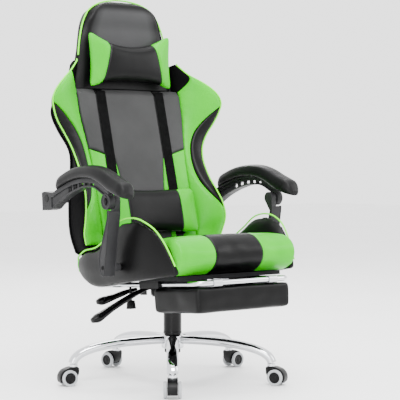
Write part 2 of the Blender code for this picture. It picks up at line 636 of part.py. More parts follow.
# ---------------------------------------------------------------- backrest

def bend(height):
    """How far the back's middle surface is curved forward, towards the head."""
    low = max((k for k in NECK_BEND if k[0] <= height), default=NECK_BEND[0])
    high = min((k for k in NECK_BEND if k[0] > height), default=NECK_BEND[-1])
    if low == high or height < NECK_BEND[0][0]:
        return low[1]
    return low[1] + (high[1] - low[1]) * (height - low[0]) / (high[0] - low[0])


def wing_section(height, side):
    """A wing's outline at one height: crease, ridge, outer side and back."""
    crease = along(CREASE_HALF, height) + 0.0008
    half = max(along(WING_EDGE_HALF, height), crease + 0.012)
    ridge = along(WING_EDGE_FORWARD, height)
    rear_half = max(along(SHELL_HALF, height), crease + 0.012)
    rear = bend(height) - 0.0205
    inner = crease + 0.35 * (half - crease)
    section = [(crease, rear), (crease, PANEL_FRONT - 0.012),
               (inner, PANEL_FRONT + 0.45 * (ridge - PANEL_FRONT)),
               (half - min(0.022, 0.6 * (half - crease)), ridge - 0.004),
               (half - min(0.008, 0.3 * (half - crease)), ridge), (half, ridge - 0.012),
               (half - 0.25 * (half - rear_half), max(ridge * 0.62, rear + 0.026)),
               (rear_half, rear + 0.012), (rear_half - 0.006, rear)]
    return [at(side * x, f, height) for x, f in section]


def wing_mesh(side):
    heights = (0.048,) + BACK_HEIGHTS + (0.57, 0.60, 0.63, 0.65)
    return loft([wing_section(height, side) for height in heights])


def panel_mesh():
    """The middle panel of the back, between the wings' creases."""
    rings = []
    for height in (0.052,) + BACK_HEIGHTS + (0.567,):
        half = along(CREASE_HALF, height)
        front = PANEL_FRONT - 0.008 * (height < 0.06) - 0.018 * (height > 0.56)
        rear = bend(height) + FOAM_REAR
        section = [(-half, rear), (half, rear), (half, front - 0.010),
                   (half - 0.012, front), (-half + 0.012, front), (-half, front - 0.010)]
        rings.append([at(x, f, height) for x, f in section])
    return loft(rings)


def headrest_mesh():
    """The neck and head padding, above the middle panel."""
    rings = []
    for height in (0.568,) + NECK_HEIGHTS[1:] + (0.775, 0.80, 0.83, 0.852):
        half = along(HEAD_HALF, height)
        front = along(HEAD_FRONT, height)
        rear = bend(height) + FOAM_REAR
        side = rear + 0.5 * (front - rear)
        section = [(-half, rear), (half, rear), (half, side), (half * 0.90, front),
                   (-half * 0.90, front), (-half, side)]
        rings.append([at(x, f, height) for x, f in section])
    return loft(rings)


def shell_mesh():
    """The upholstered back cover, behind the steel frame."""
    rings = []
    low = (0.035, 0.07, 0.13, 0.20, 0.27, 0.33, 0.38, 0.42, 0.45, 0.475, 0.508, 0.54)
    for height in low + NECK_HEIGHTS + (0.775, 0.80, 0.825, 0.845, 0.856):
        half = along(SHELL_HALF, height)
        depth = along(SHELL_DEPTH, height)
        front = SHELL_FRONT + bend(height)
        section = [(-half, front), (-half * 0.985, front - 0.7 * depth),
                   (-half * 0.92, front - depth), (half * 0.92, front - depth),
                   (half * 0.985, front - 0.7 * depth), (half, front)]
        rings.append([at(x, f, height) for x, f in section])
    return loft(rings)


def frame_mesh():
    """The welded steel frame inside the back: a bent tube, a cross tube and hinge ears."""
    heights = (0.0, 0.03, 0.06, 0.18, 0.30, 0.40, 0.475, 0.508, 0.54) + NECK_HEIGHTS
    half = [(along(FRAME_HALF, height), height) for height in heights + (0.77, 0.80)]
    route = half + [(-x, height) for x, height in reversed(half)]
    ring = [(FRAME_RADIUS * math.cos(a), FRAME_RADIUS * math.sin(a))
            for a in spread(0, 2 * math.pi * 9 / 10, 10)]
    rings = []
    for i, (x, height) in enumerate(route):
        before, after = route[max(i - 1, 0)], route[min(i + 1, len(route) - 1)]
        ahead = at(after[0] - before[0], 0, after[1] - before[1]).normalized()
        across = ahead.cross(Vector((0, 1, 0))).normalized()
        forward = FRAME_FORWARD * min(height / 0.06, 1.0) + bend(height)
        middle = at(x, forward, height)
        rings.append([middle + across * a + Vector((0, 1, 0)) * b for a, b in ring])
    mesh = loft(rings)
    for height in (0.17, 0.47):
        cross = rod_x(0.007, -0.146, 0.146, FRAME_FORWARD, height, 10)
        mesh = combine(mesh, cross, "UNION")
    for side in (-1, 1):
        ear = rod_x(0.0155, side * 0.1260, side * 0.1495, 0, 0, 20)
        pin = rod_x(0.006, side * 0.14, side * 0.1615, 0, 0, 16)
        mesh = combine(combine(mesh, ear, "UNION"), pin, "UNION")
    return mesh


def pillow_mesh(half, tall, deep, waist):
    """A stuffed pillow about the origin; waist narrows its height in the middle."""
    rings = []
    for share in (-1.0, -0.94, -0.6, -0.25, 0.25, 0.6, 0.94, 1.0):
        end = abs(share)
        high = tall * (1 - waist * (1 - end**2)) * (0.86 if end == 1.0 else 1.0)
        thick = deep * (0.5 if end == 1.0 else 0.75 if end > 0.9 else 1.0)
        section = rounded(thick, high, 0.36 * min(thick, high), 2)
        rings.append([at(share * half, a, b) for a, b in section])
    return loft(rings)


def strap_mesh(side):
    x = side * 0.115
    front = PANEL_FRONT + 0.0026
    return block(x - 0.017, x + 0.017, PANEL_FRONT + 0.0005, front, 0.075, 0.555)


def build_backrest(back):
    add("backrest_frame", frame_mesh(), "black_steel", back)
    add("backrest_shell", shell_mesh(), "black_leather", back)
    add("backrest_cushion", panel_mesh(), "grey_leather", back)
    add("headrest_cushion", headrest_mesh(), "black_leather", back)
    for name, side in (("left", 1), ("right", -1)):
        add(f"backrest_wing_{name}", wing_mesh(side), "green_leather", back)
        add(f"pillow_strap_{name}", strap_mesh(side), "strap", back)
    lumbar_axis = empty("lumbar_slide_axis", back, at(0, 0.0945, 0.149))
    add("lumbar_pillow", pillow_mesh(0.172, 0.148, 0.040, 0.0), "black_leather", lumbar_axis)
    head_axis = empty("head_pillow_slide_axis", back, at(0, *PILLOW_MIDDLE), lean=-PILLOW_LEAN)
    add("head_pillow", pillow_mesh(0.161, 0.176, 0.052, 0.20), "black_leather", head_axis)


# ---------------------------------------------------------------- arms

def rear_pivot():
    """The arm's rear pivot in the level frame, from its place on the leaned back."""
    forward, up = REAR_PIVOT_BACK
    return (HINGE_FORWARD + forward * math.cos(BACK_LEAN) - up * math.sin(BACK_LEAN),
            HINGE_Z + up * math.cos(BACK_LEAN) + forward * math.sin(BACK_LEAN))


def post_mesh(side):
    """The upright between the seat's side and the arm's front pivot."""
    f0, z0 = FRONT_PIVOT
    body = [(0.1050, 0.3390), (0.1140, 0.3390), (0.1577, 0.5250), (0.1577, 0.5345),
            (0.1450, 0.5345), (0.1440, 0.5143), (0.1190, 0.4594), (0.0940, 0.4094),
            (0.0890, 0.3824), (0.0960, 0.3500)]
    mesh = plate_x(body, side * POST_INNER, side * POST_OUTER)
    tongue = arc((f0, z0), 0.019, -20, 200, 9) + [(0.1445, 0.520), (0.1550, 0.520)]
    mesh = combine(mesh, plate_x(tongue, side * POST_INNER, side * POST_SPLIT), "UNION")
    pin = rod_x(PIVOT_PIN, side * 0.300, side * 0.3385, f0, z0)
    mesh = combine(mesh, pin, "UNION")
    foot = rod_x(0.012, side * 0.2740, side * 0.298, *POST_PIVOT)
    return combine(mesh, foot, "UNION")


def link_mesh(side):
    """The arm's plastic link: an arch from the rear pivot to the front pivot's disc."""
    rear = rear_pivot()
    path = [at(0, rear[0] - 0.012, 0.610)] + [at(0, f, z) for f, z in ARCH[:len(LINK_TALL)]]
    sections = []
    for point, tall in zip(path, (0.058,) + LINK_TALL):
        inner = LINK_INNER if -point.y > 0.07 else 0.302
        middle = side * (POST_OUTER + inner) / 2
        sections.append([(middle + a, b - tall / 2)
                         for a, b in rounded(POST_OUTER - inner, tall, 0.005)])
    mesh = swept(path, sections)
    disc = rod_x(0.024, side * LINK_INNER, side * POST_OUTER, *FRONT_PIVOT, segments=28)
    mesh = combine(mesh, disc, "UNION")
    hole = rod_x(OPEN_PIVOT_HOLE, side * 0.29, side * 0.36, *FRONT_PIVOT, segments=20)
    mesh = combine(mesh, hole, "DIFFERENCE")
    hole = rod_x(PIVOT_PIN + 0.0008, side * 0.27, side * 0.36, *rear, segments=20)
    return combine(mesh, hole, "DIFFERENCE")


def arm_pad_mesh(side):
    """The padded top of an arm, resting along its link."""
    path = [at(0, f, z) for f, z in ARCH[1:]]
    sections = [[(side * ARM_X + a, b + tall / 2 + 0.0006)
                 for a, b in rounded(wide, tall, tall * 0.38)]
                for wide, tall in zip(ARM_PAD_WIDE, ARM_PAD_TALL)]
    return swept(path, sections)


def bolt_mesh(side):
    """The rear pivot bolt, on the back's side: a spacer flange and the pin."""
    forward, up = REAR_PIVOT_BACK
    flange = rod_x(0.016, side * 0.2560, side * 0.2680, forward, up, 20)
    pin = rod_x(PIVOT_PIN, side * 0.262, side * 0.3300, forward, up, 16)
    return combine(flange, pin, "UNION")


def build_arms(seat, back):
    forward, up = REAR_PIVOT_BACK
    for name, side in (("left", 1), ("right", -1)):
        post_axis = empty(f"arm_post_{name}_axis", seat, at(side * 0.3, *POST_PIVOT))
        add(f"arm_post_{name}", post_mesh(side), "arm_plastic", seat, post_axis)
        link_axis = empty(f"arm_link_{name}_axis", back, at(side * 0.3, forward, up))
        add(f"arm_link_{name}", link_mesh(side), "arm_plastic", seat, link_axis)
        add(f"arm_pad_{name}", arm_pad_mesh(side), "black_leather", seat, link_axis)
        add(f"arm_bolt_{name}", bolt_mesh(side), "steel", back)


def build_chair():
    clear_scene()
    chair = empty("chair")
    build_casters(chair)
    lift = build_gas_spring(chair)
    build_mechanism(chair, lift)
    rock = empty("rock_axis", lift, at(0, 0, ROCK_Z), lean=SEAT_LEAN)
    seat = empty("seat_level", rock, at(0, 0, -ROCK_Z))
    build_seat(seat)
    build_levers(seat)
    build_footrest(seat)
    back = empty("recline_axis", seat, at(0, HINGE_FORWARD, HINGE_Z), lean=BACK_LEAN)
    build_backrest(back)
    build_arms(seat, back)


build_chair()
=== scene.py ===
"""Looks of the gaming chair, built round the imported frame.

Pieces are drawn as (x, forward, up): up is +Z and forward is -Y, the way the sitter faces.
The seat group is drawn level and leaned back about the rock axis, and the back is drawn
upright above its hinge, as (x, forward of the hinge, height above the hinge).
"""

import json
import math

import bmesh
import bpy
import numpy as np
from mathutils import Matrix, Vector


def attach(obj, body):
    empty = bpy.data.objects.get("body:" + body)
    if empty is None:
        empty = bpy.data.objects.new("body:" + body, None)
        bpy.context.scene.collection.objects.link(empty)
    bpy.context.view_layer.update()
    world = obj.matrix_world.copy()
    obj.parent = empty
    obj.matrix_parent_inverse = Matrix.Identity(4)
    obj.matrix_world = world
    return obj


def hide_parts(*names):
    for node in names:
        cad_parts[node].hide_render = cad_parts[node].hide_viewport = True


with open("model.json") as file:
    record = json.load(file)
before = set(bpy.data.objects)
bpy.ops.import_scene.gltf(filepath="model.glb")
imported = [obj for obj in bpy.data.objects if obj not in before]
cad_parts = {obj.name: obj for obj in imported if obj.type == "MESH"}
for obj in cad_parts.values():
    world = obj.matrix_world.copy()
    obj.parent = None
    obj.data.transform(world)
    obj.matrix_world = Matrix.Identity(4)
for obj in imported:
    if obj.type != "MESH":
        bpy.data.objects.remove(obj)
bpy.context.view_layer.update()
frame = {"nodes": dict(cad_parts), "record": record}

# ---------------------------------------------------------------- frames

ROCK_Z, SEAT_LEAN = 0.291, math.radians(4.5)
HINGE_FORWARD, HINGE_Z, BACK_LEAN = -0.150, 0.372, math.radians(10.5)


def plain(p):
    """From (x, forward, up) to the row frame."""
    p = np.asarray(p, float)
    return np.stack([p[..., 0], -p[..., 1], p[..., 2]], -1)


def leaned(p, forward, up, lean):
    """Points leaned back by an angle about an axis across the chair."""
    c, s = math.cos(lean), math.sin(lean)
    f, z = p[..., 1] - forward, p[..., 2] - up
    return np.stack([p[..., 0], forward + f * c - z * s, up + z * c + f * s], -1)


def level(p):
    """From the level seat drawing to the row frame."""
    return plain(leaned(np.asarray(p, float), 0.0, ROCK_Z, SEAT_LEAN))


def upright(p):
    """From the upright back drawing, about its hinge, to the row frame."""
    p = np.asarray(p, float) + (0.0, HINGE_FORWARD, HINGE_Z)
    return level(leaned(p, HINGE_FORWARD, HINGE_Z, BACK_LEAN))


# ---------------------------------------------------------------- materials

def nodes_of(name, colour, roughness, metallic=0.0, ior=1.5):
    """A new material with its node tree, its shader and its object coordinates."""
    mat = bpy.data.materials.new(name)
    mat.use_nodes = True
    tree = mat.node_tree
    shader = tree.nodes["Principled BSDF"]
    shader.inputs["Base Color"].default_value = (*colour, 1.0)
    shader.inputs["Roughness"].default_value = roughness
    shader.inputs["Metallic"].default_value = metallic
    shader.inputs["IOR"].default_value = ior
    place = tree.nodes.new("ShaderNodeTexCoord")
    return mat, tree, shader, place.outputs["Object"]


def texture(tree, kind, vector, **values):
    """A texture node read at vector, with its inputs set by name."""
    node = tree.nodes.new(kind)
    tree.links.new(vector, node.inputs["Vector"])
    for key, value in values.items():
        node.inputs[key.replace("_", " ")].default_value = value
    return node


def noise(tree, vector, scale, detail):
    return texture(tree, "ShaderNodeTexNoise", vector, Scale=scale, Detail=detail).outputs["Fac"]


def ramp(tree, value, low, high, start=0.0, end=1.0):
    """value, mapped from start..end to low..high."""
    node = tree.nodes.new("ShaderNodeMapRange")
    tree.links.new(value, node.inputs["Value"])
    node.inputs["From Min"].default_value = start
    node.inputs["From Max"].default_value = end
    node.inputs["To Min"].default_value = low
    node.inputs["To Max"].default_value = high
    return node.outputs["Result"]


def add_bump(tree, shader, heights):
    """Chained bumps: each entry is (height output, strength, distance in metres)."""
    normal = None
    for height, strength, distance in heights:
        node = tree.nodes.new("ShaderNodeBump")
        node.inputs["Strength"].default_value = strength
        node.inputs["Distance"].default_value = distance
        tree.links.new(height, node.inputs["Height"])
        if normal is not None:
            tree.links.new(normal, node.inputs["Normal"])
        normal = node.outputs["Normal"]
    tree.links.new(normal, shader.inputs["Normal"])


def blended(tree, shader, dark, light, share):
    """Base colour from dark to light as share goes from 0 to 1."""
    mix = tree.nodes.new("ShaderNodeMix")
    mix.data_type = "RGBA"
    mix.inputs["A"].default_value = (*dark, 1.0)
    mix.inputs["B"].default_value = (*light, 1.0)
    tree.links.new(share, mix.inputs["Factor"])
    tree.links.new(mix.outputs["Result"], shader.inputs["Base Color"])


def vary_colour(tree, shader, vector, dark, light, scale):
    """Soft blotches between two colours."""
    blotches = noise(tree, vector, scale, 4.0)
    blended(tree, shader, dark, light, ramp(tree, blotches, 0.0, 1.0, 0.35, 0.65))


def vary_gloss(tree, shader, vector, scale, detail, low, high, start=0.3, end=0.75):
    """Uneven roughness from low to high."""
    share = noise(tree, vector, scale, detail)
    tree.links.new(ramp(tree, share, low, high, start, end), shader.inputs["Roughness"])


def leather(name, dark, light, roughness, grain=0.25, ior=1.22):
    """Leatherette: pebbled grain, soft creases, uneven gloss."""
    mat, tree, shader, vector = nodes_of(name, light, roughness, ior=ior)
    vary_colour(tree, shader, vector, dark, light, 9.0)
    pebbles = texture(tree, "ShaderNodeTexVoronoi", vector, Scale=620.0)
    pebbles.feature = "SMOOTH_F1"
    add_bump(tree, shader, ((noise(tree, vector, 38.0, 5.0), 0.18, 0.002),
                            (pebbles.outputs["Distance"], grain, 0.0004),
                            (noise(tree, vector, 900.0, 2.0), grain * 0.5, 0.0002)))
    vary_gloss(tree, shader, vector, 14.0, 3.0, roughness - 0.05, roughness + 0.07, 0.0, 1.0)
    return mat


def plastic(name, colour, roughness, texture_scale=700.0, strength=0.12):
    """Moulded plastic: fine spark-eroded texture and faint flow marks."""
    mat, tree, shader, vector = nodes_of(name, colour, roughness, ior=1.24)
    light = tuple(min(1.0, c * 1.25 + 0.0004) for c in colour)
    vary_colour(tree, shader, vector, colour, light, 22.0)
    add_bump(tree, shader, ((noise(tree, vector, texture_scale, 3.0), strength, 0.0003),))
    vary_gloss(tree, shader, vector, 30.0, 6.0, roughness - 0.07, roughness + 0.1, end=0.7)
    return mat


def metal(name, colour, roughness, metallic=1.0, brushed=0.0):
    """Plated or painted metal: uneven polish, faint orange peel or brushing."""
    mat, tree, shader, vector = nodes_of(name, colour, roughness, metallic,
                                         1.5 if metallic else 1.22)
    light = tuple(min(1.0, c * 1.06 + 0.0004) for c in colour)
    vary_colour(tree, shader, vector, colour, light, 12.0)
    add_bump(tree, shader, ((noise(tree, vector, 160.0, 2.0), 0.05 + brushed, 0.0003),))
    low = max(0.02, roughness - 0.03)
    vary_gloss(tree, shader, vector, 25.0, 7.0, low, roughness + 0.06)
    return mat


def webbing():
    """Woven strap: a fine diagonal weave."""
    mat, tree, shader, vector = nodes_of("strap_webbing", (0.0014, 0.0014, 0.0015), 0.75,
                                         ior=1.12)
    vary_colour(tree, shader, vector, (0.0010, 0.0010, 0.0011), (0.0026, 0.0026, 0.0028), 60.0)
    weft = texture(tree, "ShaderNodeTexWave", vector, Scale=420.0, Distortion=0.6)
    warp = texture(tree, "ShaderNodeTexWave", vector, Scale=300.0, Distortion=0.4)
    warp.bands_direction = "Z"
    add_bump(tree, shader, ((weft.outputs["Fac"], 0.5, 0.0004),
                            (warp.outputs["Fac"], 0.5, 0.0004)))
    return mat


def two_tone(name, dark, light, attribute):
    """Black leather that turns to grey leather where the mesh attribute rises; on the head the
    attribute also darkens the grey towards the rims as painted shade.
    """
    mat = leather(name, dark, dark, 0.40, 0.35)
    tree = mat.node_tree
    vector = tree.nodes["Texture Coordinate"].outputs["Object"]
    share = tree.nodes.new("ShaderNodeAttribute")
    share.attribute_name = attribute
    vary = tree.nodes.new("ShaderNodeMath")
    vary.operation = "MULTIPLY"
    tree.links.new(share.outputs["Fac"], vary.inputs[0])
    blotches = noise(tree, vector, 11.0, 4.0)
    tree.links.new(ramp(tree, blotches, 0.92, 1.0, 0.3, 0.7), vary.inputs[1])
    blended(tree, tree.nodes["Principled BSDF"], dark, light, vary.outputs["Value"])
    return mat


MATS = {
    # The head's leather: grey on the front face, with painted shade that darkens it to black
    # towards the rims.
    "head": two_tone("leather_head", (0.0008, 0.0008, 0.0009), (0.030, 0.030, 0.031),
                     "grey_with_painted_rim_shade"),
    "cover": plastic("underside_cloth", (0.010, 0.010, 0.011), 0.85, 1500.0, 0.4),
    "black": leather("leather_black", (0.0006, 0.0006, 0.0007), (0.0013, 0.0013, 0.0014), 0.36),
    # Wing core leather: a copy of the black leather whose lighter base colour is painted sheen,
    # standing in for the glancing reflection that IOR 1.03 takes out.
    "side": leather("leather_side_painted_sheen", (0.0022, 0.0022, 0.0024), (0.0036, 0.0036, 0.0038), 0.5,
                    ior=1.03),
    "grey": leather("leather_grey", (0.0230, 0.0230, 0.0234), (0.0290, 0.0290, 0.0295), 0.50, 0.35),
    "green": leather("leather_green", (0.020, 0.330, 0.0004), (0.026, 0.380, 0.0006), 0.33),
    "piping": leather("piping_green", (0.120, 0.680, 0.006), (0.150, 0.760, 0.009), 0.40, 0.1),
    "pad": leather("arm_pad_skin", (0.0020, 0.0020, 0.0022), (0.0040, 0.0040, 0.0042), 0.42, 0.35),
    "chrome": metal("chrome_plate", (0.58, 0.59, 0.61), 0.06),
    "steel": metal("zinc_plate", (0.50, 0.51, 0.53), 0.30, 1.0, 0.1),
    "paint": metal("black_paint", (0.0015, 0.0015, 0.0017), 0.38, 0.0, 0.2),
    "nylon": plastic("black_nylon", (0.0015, 0.0015, 0.0017), 0.34),
    "gloss": plastic("black_gloss_plastic", (0.0010, 0.0010, 0.0012), 0.16, 200.0, 0.03),
    "arm": plastic("arm_plastic", (0.0130, 0.0130, 0.0138), 0.46, 520.0, 0.25),
    "wheel": plastic("wheel_nylon", (0.30, 0.31, 0.32), 0.42),
    "strap": webbing(),
    # A matte near-black material for the foot bolt's hole: painted shade standing in for the depth
    # of the hole.
    "hole": plastic("hole_painted_shade", (0.002, 0.002, 0.002), 0.8),
}

# ---------------------------------------------------------------- mesh helpers

def mesh_of(name, part, outward=True):
    """A mesh from (vertices, faces), with its faces turned outward."""
    mesh = bpy.data.meshes.new(name)
    mesh.from_pydata([tuple(v) for v in part[0]], [], part[1])
    if outward:
        bm = bmesh.new()
        bm.from_mesh(mesh)
        bmesh.ops.recalc_face_normals(bm, faces=bm.faces)
        bm.to_mesh(mesh)
        bm.free()
    return mesh


def to_scene(name, data):
    """A new object for a mesh, light or camera, in the scene."""
    obj = bpy.data.objects.new(name, data)
    bpy.context.scene.collection.objects.link(obj)
    return obj


def add_piece(name, verts, faces, material, body, slot, replaces=(), face_materials=None,
              sharp=None):
    """One piece from world points; material may be a list, with face_materials per face."""
    mesh = mesh_of(name, (verts, faces))
    for key in material if isinstance(material, list) else [material]:
        mesh.materials.append(MATS[key])
    if face_materials is not None:
        mesh.polygons.foreach_set("material_index", face_materials)
    mesh.shade_smooth()
    if sharp:
        mesh.set_sharp_from_angle(angle=math.radians(sharp))
    obj = to_scene(name, mesh)
    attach(obj, body)
    if replaces:
        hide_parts(*replaces)
    return obj


def lofted(rings, flat_ends=False):
    """Vertices and faces of a loft through rings of points, closed by a fan at each end.
    flat_ends closes it by one face instead, for outlines that aren't convex."""
    rings = np.asarray(rings, float)
    rows, count = rings.shape[:2]
    verts = [p for ring in rings for p in ring]
    faces = []
    for j in range(rows - 1):
        for i in range(count):
            k = (i + 1) % count
            faces.append((j * count + i, j * count + k, (j + 1) * count + k, (j + 1) * count + i))
    for row in (0, rows - 1):
        if flat_ends:
            faces.append(tuple(row * count + i for i in range(count)))
            continue
        verts.append(rings[row].mean(0))
        middle = len(verts) - 1
        for i in range(count):
            faces.append((row * count + i, row * count + (i + 1) % count, middle))
    return verts, faces


def merged(parts):
    """Several (vertices, faces) joined into one."""
    verts, faces = [], []
    for part_verts, part_faces in parts:
        start = len(verts)
        verts += list(part_verts)
        faces += [tuple(start + i for i in face) for face in part_faces]
    return verts, faces


def along(knots, t):
    """Smooth reading of a table of (position, value) knots."""
    xs, ys = np.array(knots, float).T
    t = np.clip(np.asarray(t, float), xs[0], xs[-1])
    slopes = np.gradient(ys, xs)
    i = np.clip(np.searchsorted(xs, t, side="right") - 1, 0, len(xs) - 2)
    h = xs[i + 1] - xs[i]
    u = (t - xs[i]) / h
    return ((2 * u**3 - 3 * u**2 + 1) * ys[i] + (u**3 - 2 * u**2 + u) * h * slopes[i]
            + (3 * u**2 - 2 * u**3) * ys[i + 1] + (u**3 - u**2) * h * slopes[i + 1])


def corner_cut(before, here, after, radius, share):
    """Where a corner's rounding starts and ends, at most share of the way along each edge."""
    before, after = before - here, after - here
    lb, la = np.linalg.norm(before), np.linalg.norm(after)
    cut = min(radius, share * lb, share * la)
    return here + before * cut / max(lb, 1e-9), here + after * cut / max(la, 1e-9)


def corner_point(t, first, here, last):
    """A point of the curve that rounds a corner."""
    return (1 - t)**2 * first + 2 * t * (1 - t) * here + t**2 * last


def outward_sign(pts):
    """1 for an outline that runs anticlockwise, -1 for one that runs clockwise."""
    area = np.sum(pts[:, 0] * np.roll(pts[:, 1], -1) - np.roll(pts[:, 0], -1) * pts[:, 1])
    return 1.0 if area > 0 else -1.0


def inset_outline(pts, inset):
    """An outline of 2-D points moved inwards by the given distance."""
    ahead = np.roll(pts, -1, 0) - np.roll(pts, 1, 0)
    ahead /= np.maximum(np.linalg.norm(ahead, axis=1), 1e-9)[:, None]
    return pts + np.stack([-ahead[:, 1], ahead[:, 0]], -1) * inset * outward_sign(pts)


def section(corners, arc_steps=5, edge_steps=6):
    """A closed outline through corners (a, b, radius, crown of the edge to the next corner)."""
    pts = np.array([c[:2] for c in corners], float)
    count, turn = len(pts), outward_sign(pts)
    ends = [corner_cut(pts[i - 1], pts[i], pts[(i + 1) % count], corners[i][2], 0.48)
            for i in range(count)]
    out = []
    for i, corner in enumerate(corners):
        first, last = ends[i]
        for k in range(arc_steps):
            out.append(corner_point(k / arc_steps, first, pts[i], last))
        following = ends[(i + 1) % count][0]
        edge = following - last
        length = max(np.linalg.norm(edge), 1e-9)
        normal = np.array([edge[1], -edge[0]]) / length * turn
        for k in range(edge_steps):
            t = k / edge_steps
            out.append(last + edge * t + normal * corner[3] * 4 * t * (1 - t))
    return np.array(out)


def oval(wide, tall, count=32, power=2.0):
    """A superellipse outline of the given full width and height."""
    a = np.arange(count) * 2 * math.pi / count
    c, s = np.cos(a), np.sin(a)
    return np.stack([wide / 2 * np.sign(c) * np.abs(c)**(2 / power),
                     tall / 2 * np.sign(s) * np.abs(s)**(2 / power)], -1)


def swept(path, sections, side=(1, 0, 0), round_ends=0.0):
    """Rings of sections carried along a path; side is the sections' first axis."""
    path = np.asarray(path, float)
    ahead = np.gradient(path, axis=0)
    ahead /= np.linalg.norm(ahead, axis=1)[:, None]
    side = np.broadcast_to(np.asarray(side, float), path.shape)
    up = np.cross(side, ahead)
    up /= np.linalg.norm(up, axis=1)[:, None]
    across = np.cross(ahead, up)
    rings = [path[i] + sections[i][:, :1] * across[i] + sections[i][:, 1:] * up[i]
             for i in range(len(path))]
    if round_ends:
        steps = [(math.sin(q), math.cos(q)) for q in np.linspace(0.25, 1.45, 4)]
        first = [path[0] - ahead[0] * round_ends * s + (rings[0] - path[0]) * c
                 for s, c in steps]
        last = [path[-1] + ahead[-1] * round_ends * s + (rings[-1] - path[-1]) * c
                for s, c in steps]
        rings = first[::-1] + rings + last
    return rings


def smoothed(rows, steps):
    """The columns of a table read along a smooth curve, in steps per row."""
    rows = np.asarray(rows, float)
    t = np.arange(len(rows))
    fine = np.linspace(0, len(rows) - 1, (len(rows) - 1) * steps + 1)
    return np.stack([along(list(zip(t, column)), fine) for column in rows.T], -1)


def tube(points, radius, count=10, smooth=1):
    """A round tube through points, which smooth > 1 first joins by a smooth curve."""
    points = smoothed(points, smooth) if smooth > 1 else np.asarray(points, float)
    ahead = np.gradient(points, axis=0)
    ahead /= np.linalg.norm(ahead, axis=1)[:, None]
    up = np.cross(ahead[0], (0.3, 0.5, 0.81))
    ring_angles = np.arange(count) * 2 * math.pi / count
    rings = []
    for p, a in zip(points, ahead):
        up = up - a * np.dot(up, a)
        up /= np.linalg.norm(up)
        across = np.cross(a, up)
        rings.append([p + radius * (math.cos(q) * up + math.sin(q) * across) for q in ring_angles])
    rings = np.array(rings)
    cap = [points[0] - ahead[0] * radius * 0.6 + (rings[0] - points[0]) * 0.6]
    tail = [points[-1] + ahead[-1] * radius * 0.6 + (rings[-1] - points[-1]) * 0.6]
    return lofted(np.concatenate([cap, rings, tail]))


def turned(profile, centre, axis=(0, 0, 1), count=48):
    """A solid of revolution: profile is (radius, distance along axis), from axis to axis."""
    axis = np.asarray(axis, float) / np.linalg.norm(axis)
    first = np.cross(axis, (0.21, 0.97, 0.13) if abs(axis[1]) < 0.9 else (1.0, 0.1, 0.2))
    first /= np.linalg.norm(first)
    second = np.cross(axis, first)
    a = np.arange(count) * 2 * math.pi / count
    ring = np.cos(a)[:, None] * first + np.sin(a)[:, None] * second
    rings = [np.asarray(centre) + axis * h + ring * max(r, 1e-5) for r, h in profile]
    return lofted(rings)


def eased(profile, radius=0.0015, steps=3):
    """A turned profile with its inner corners rounded."""
    pts = [np.array(p, float) for p in profile]
    out = [pts[0]]
    for before, here, after in zip(pts, pts[1:], pts[2:]):
        first, last = corner_cut(before, here, after, radius, 0.45)
        out += [corner_point(k / steps, first, here, last) for k in range(steps + 1)]
    out.append(pts[-1])
    return out


def padded_patch(base, to_world, lift, edge=0.008, rows=60, columns=24, back=0.006, crown=0.0,
                 sink=0.0025, wrinkle=0.0, seed=0.0):
    """A stuffed panel: base(a, b) gives its points; its edges are sunk into a seam."""
    a = 0.5 - 0.5 * np.cos(math.pi * np.linspace(0, 1, columns))
    b = 0.5 - 0.5 * np.cos(math.pi * np.linspace(0, 1, rows))
    grid_a, grid_b = np.meshgrid(a, b)
    points = to_world(base(grid_a, grid_b))
    along_a, along_b = np.gradient(points, axis=1), np.gradient(points, axis=0)
    normal = np.cross(along_a, along_b)
    normal /= np.maximum(np.linalg.norm(normal, axis=-1), 1e-12)[..., None]
    step_a = np.linalg.norm(np.diff(points, axis=1), axis=-1)
    step_b = np.linalg.norm(np.diff(points, axis=0), axis=-1)
    run_a = np.concatenate([np.zeros((rows, 1)), np.cumsum(step_a, 1)], 1)
    run_b = np.concatenate([np.zeros((1, columns)), np.cumsum(step_b, 0)], 0)
    near_a = np.minimum(run_a, run_a[:, -1:] - run_a)
    near_b = np.minimum(run_b, run_b[-1:] - run_b)
    near = np.minimum(near_a, near_b)
    rounded = np.sqrt(np.clip(1 - (1 - np.clip(near / edge, 0, 1))**2, 0, 1))
    height = -sink + (sink + lift) * rounded + crown * np.sin(math.pi * grid_a) * rounded
    if wrinkle:
        close = np.exp(-near / 0.02) * rounded
        height += wrinkle * close * np.sin(run_b * 210 + 3 * np.sin(run_a * 60 + seed) + seed)
    front = points + normal * height[..., None]
    rear = points - normal * (sink + back)
    verts = list(front.reshape(-1, 3)) + list(rear.reshape(-1, 3))
    total = rows * columns
    faces = []
    for j in range(rows - 1):
        for i in range(columns - 1):
            q = [j * columns + i, j * columns + i + 1, (j + 1) * columns + i + 1,
                 (j + 1) * columns + i]
            faces.append(tuple(q))
            faces.append(tuple(total + k for k in q[::-1]))
    border = list(range(columns)) + [(j + 1) * columns - 1 for j in range(1, rows)]
    border += [(rows - 1) * columns + i for i in range(columns - 2, -1, -1)]
    border += [j * columns for j in range(rows - 2, 0, -1)]
    for p, q in zip(border, border[1:] + border[:1]):
        faces.append((p, q, total + q, total + p))
    return verts, faces


def mirror_x(points):
    """The same points on the other side of the chair."""
    return np.asarray(points, float) * (-1, 1, 1)


def slab(outline, x_from, x_to, edge=0.0015, steps=3):
    """An outline of (forward, up) points extruded along X, with rounded edges."""
    pts = np.asarray(outline, float)
    low, high = sorted((x_from, x_to))
    quarter = np.linspace(0, math.pi / 2, steps + 1)
    levels = [(low + edge * (1 - math.cos(q)), edge * (1 - math.sin(q))) for q in quarter]
    levels += [(high - (x - low), inset) for x, inset in reversed(levels)]
    return lofted([at_x(inset_outline(pts, inset), x) for x, inset in levels], flat_ends=True)


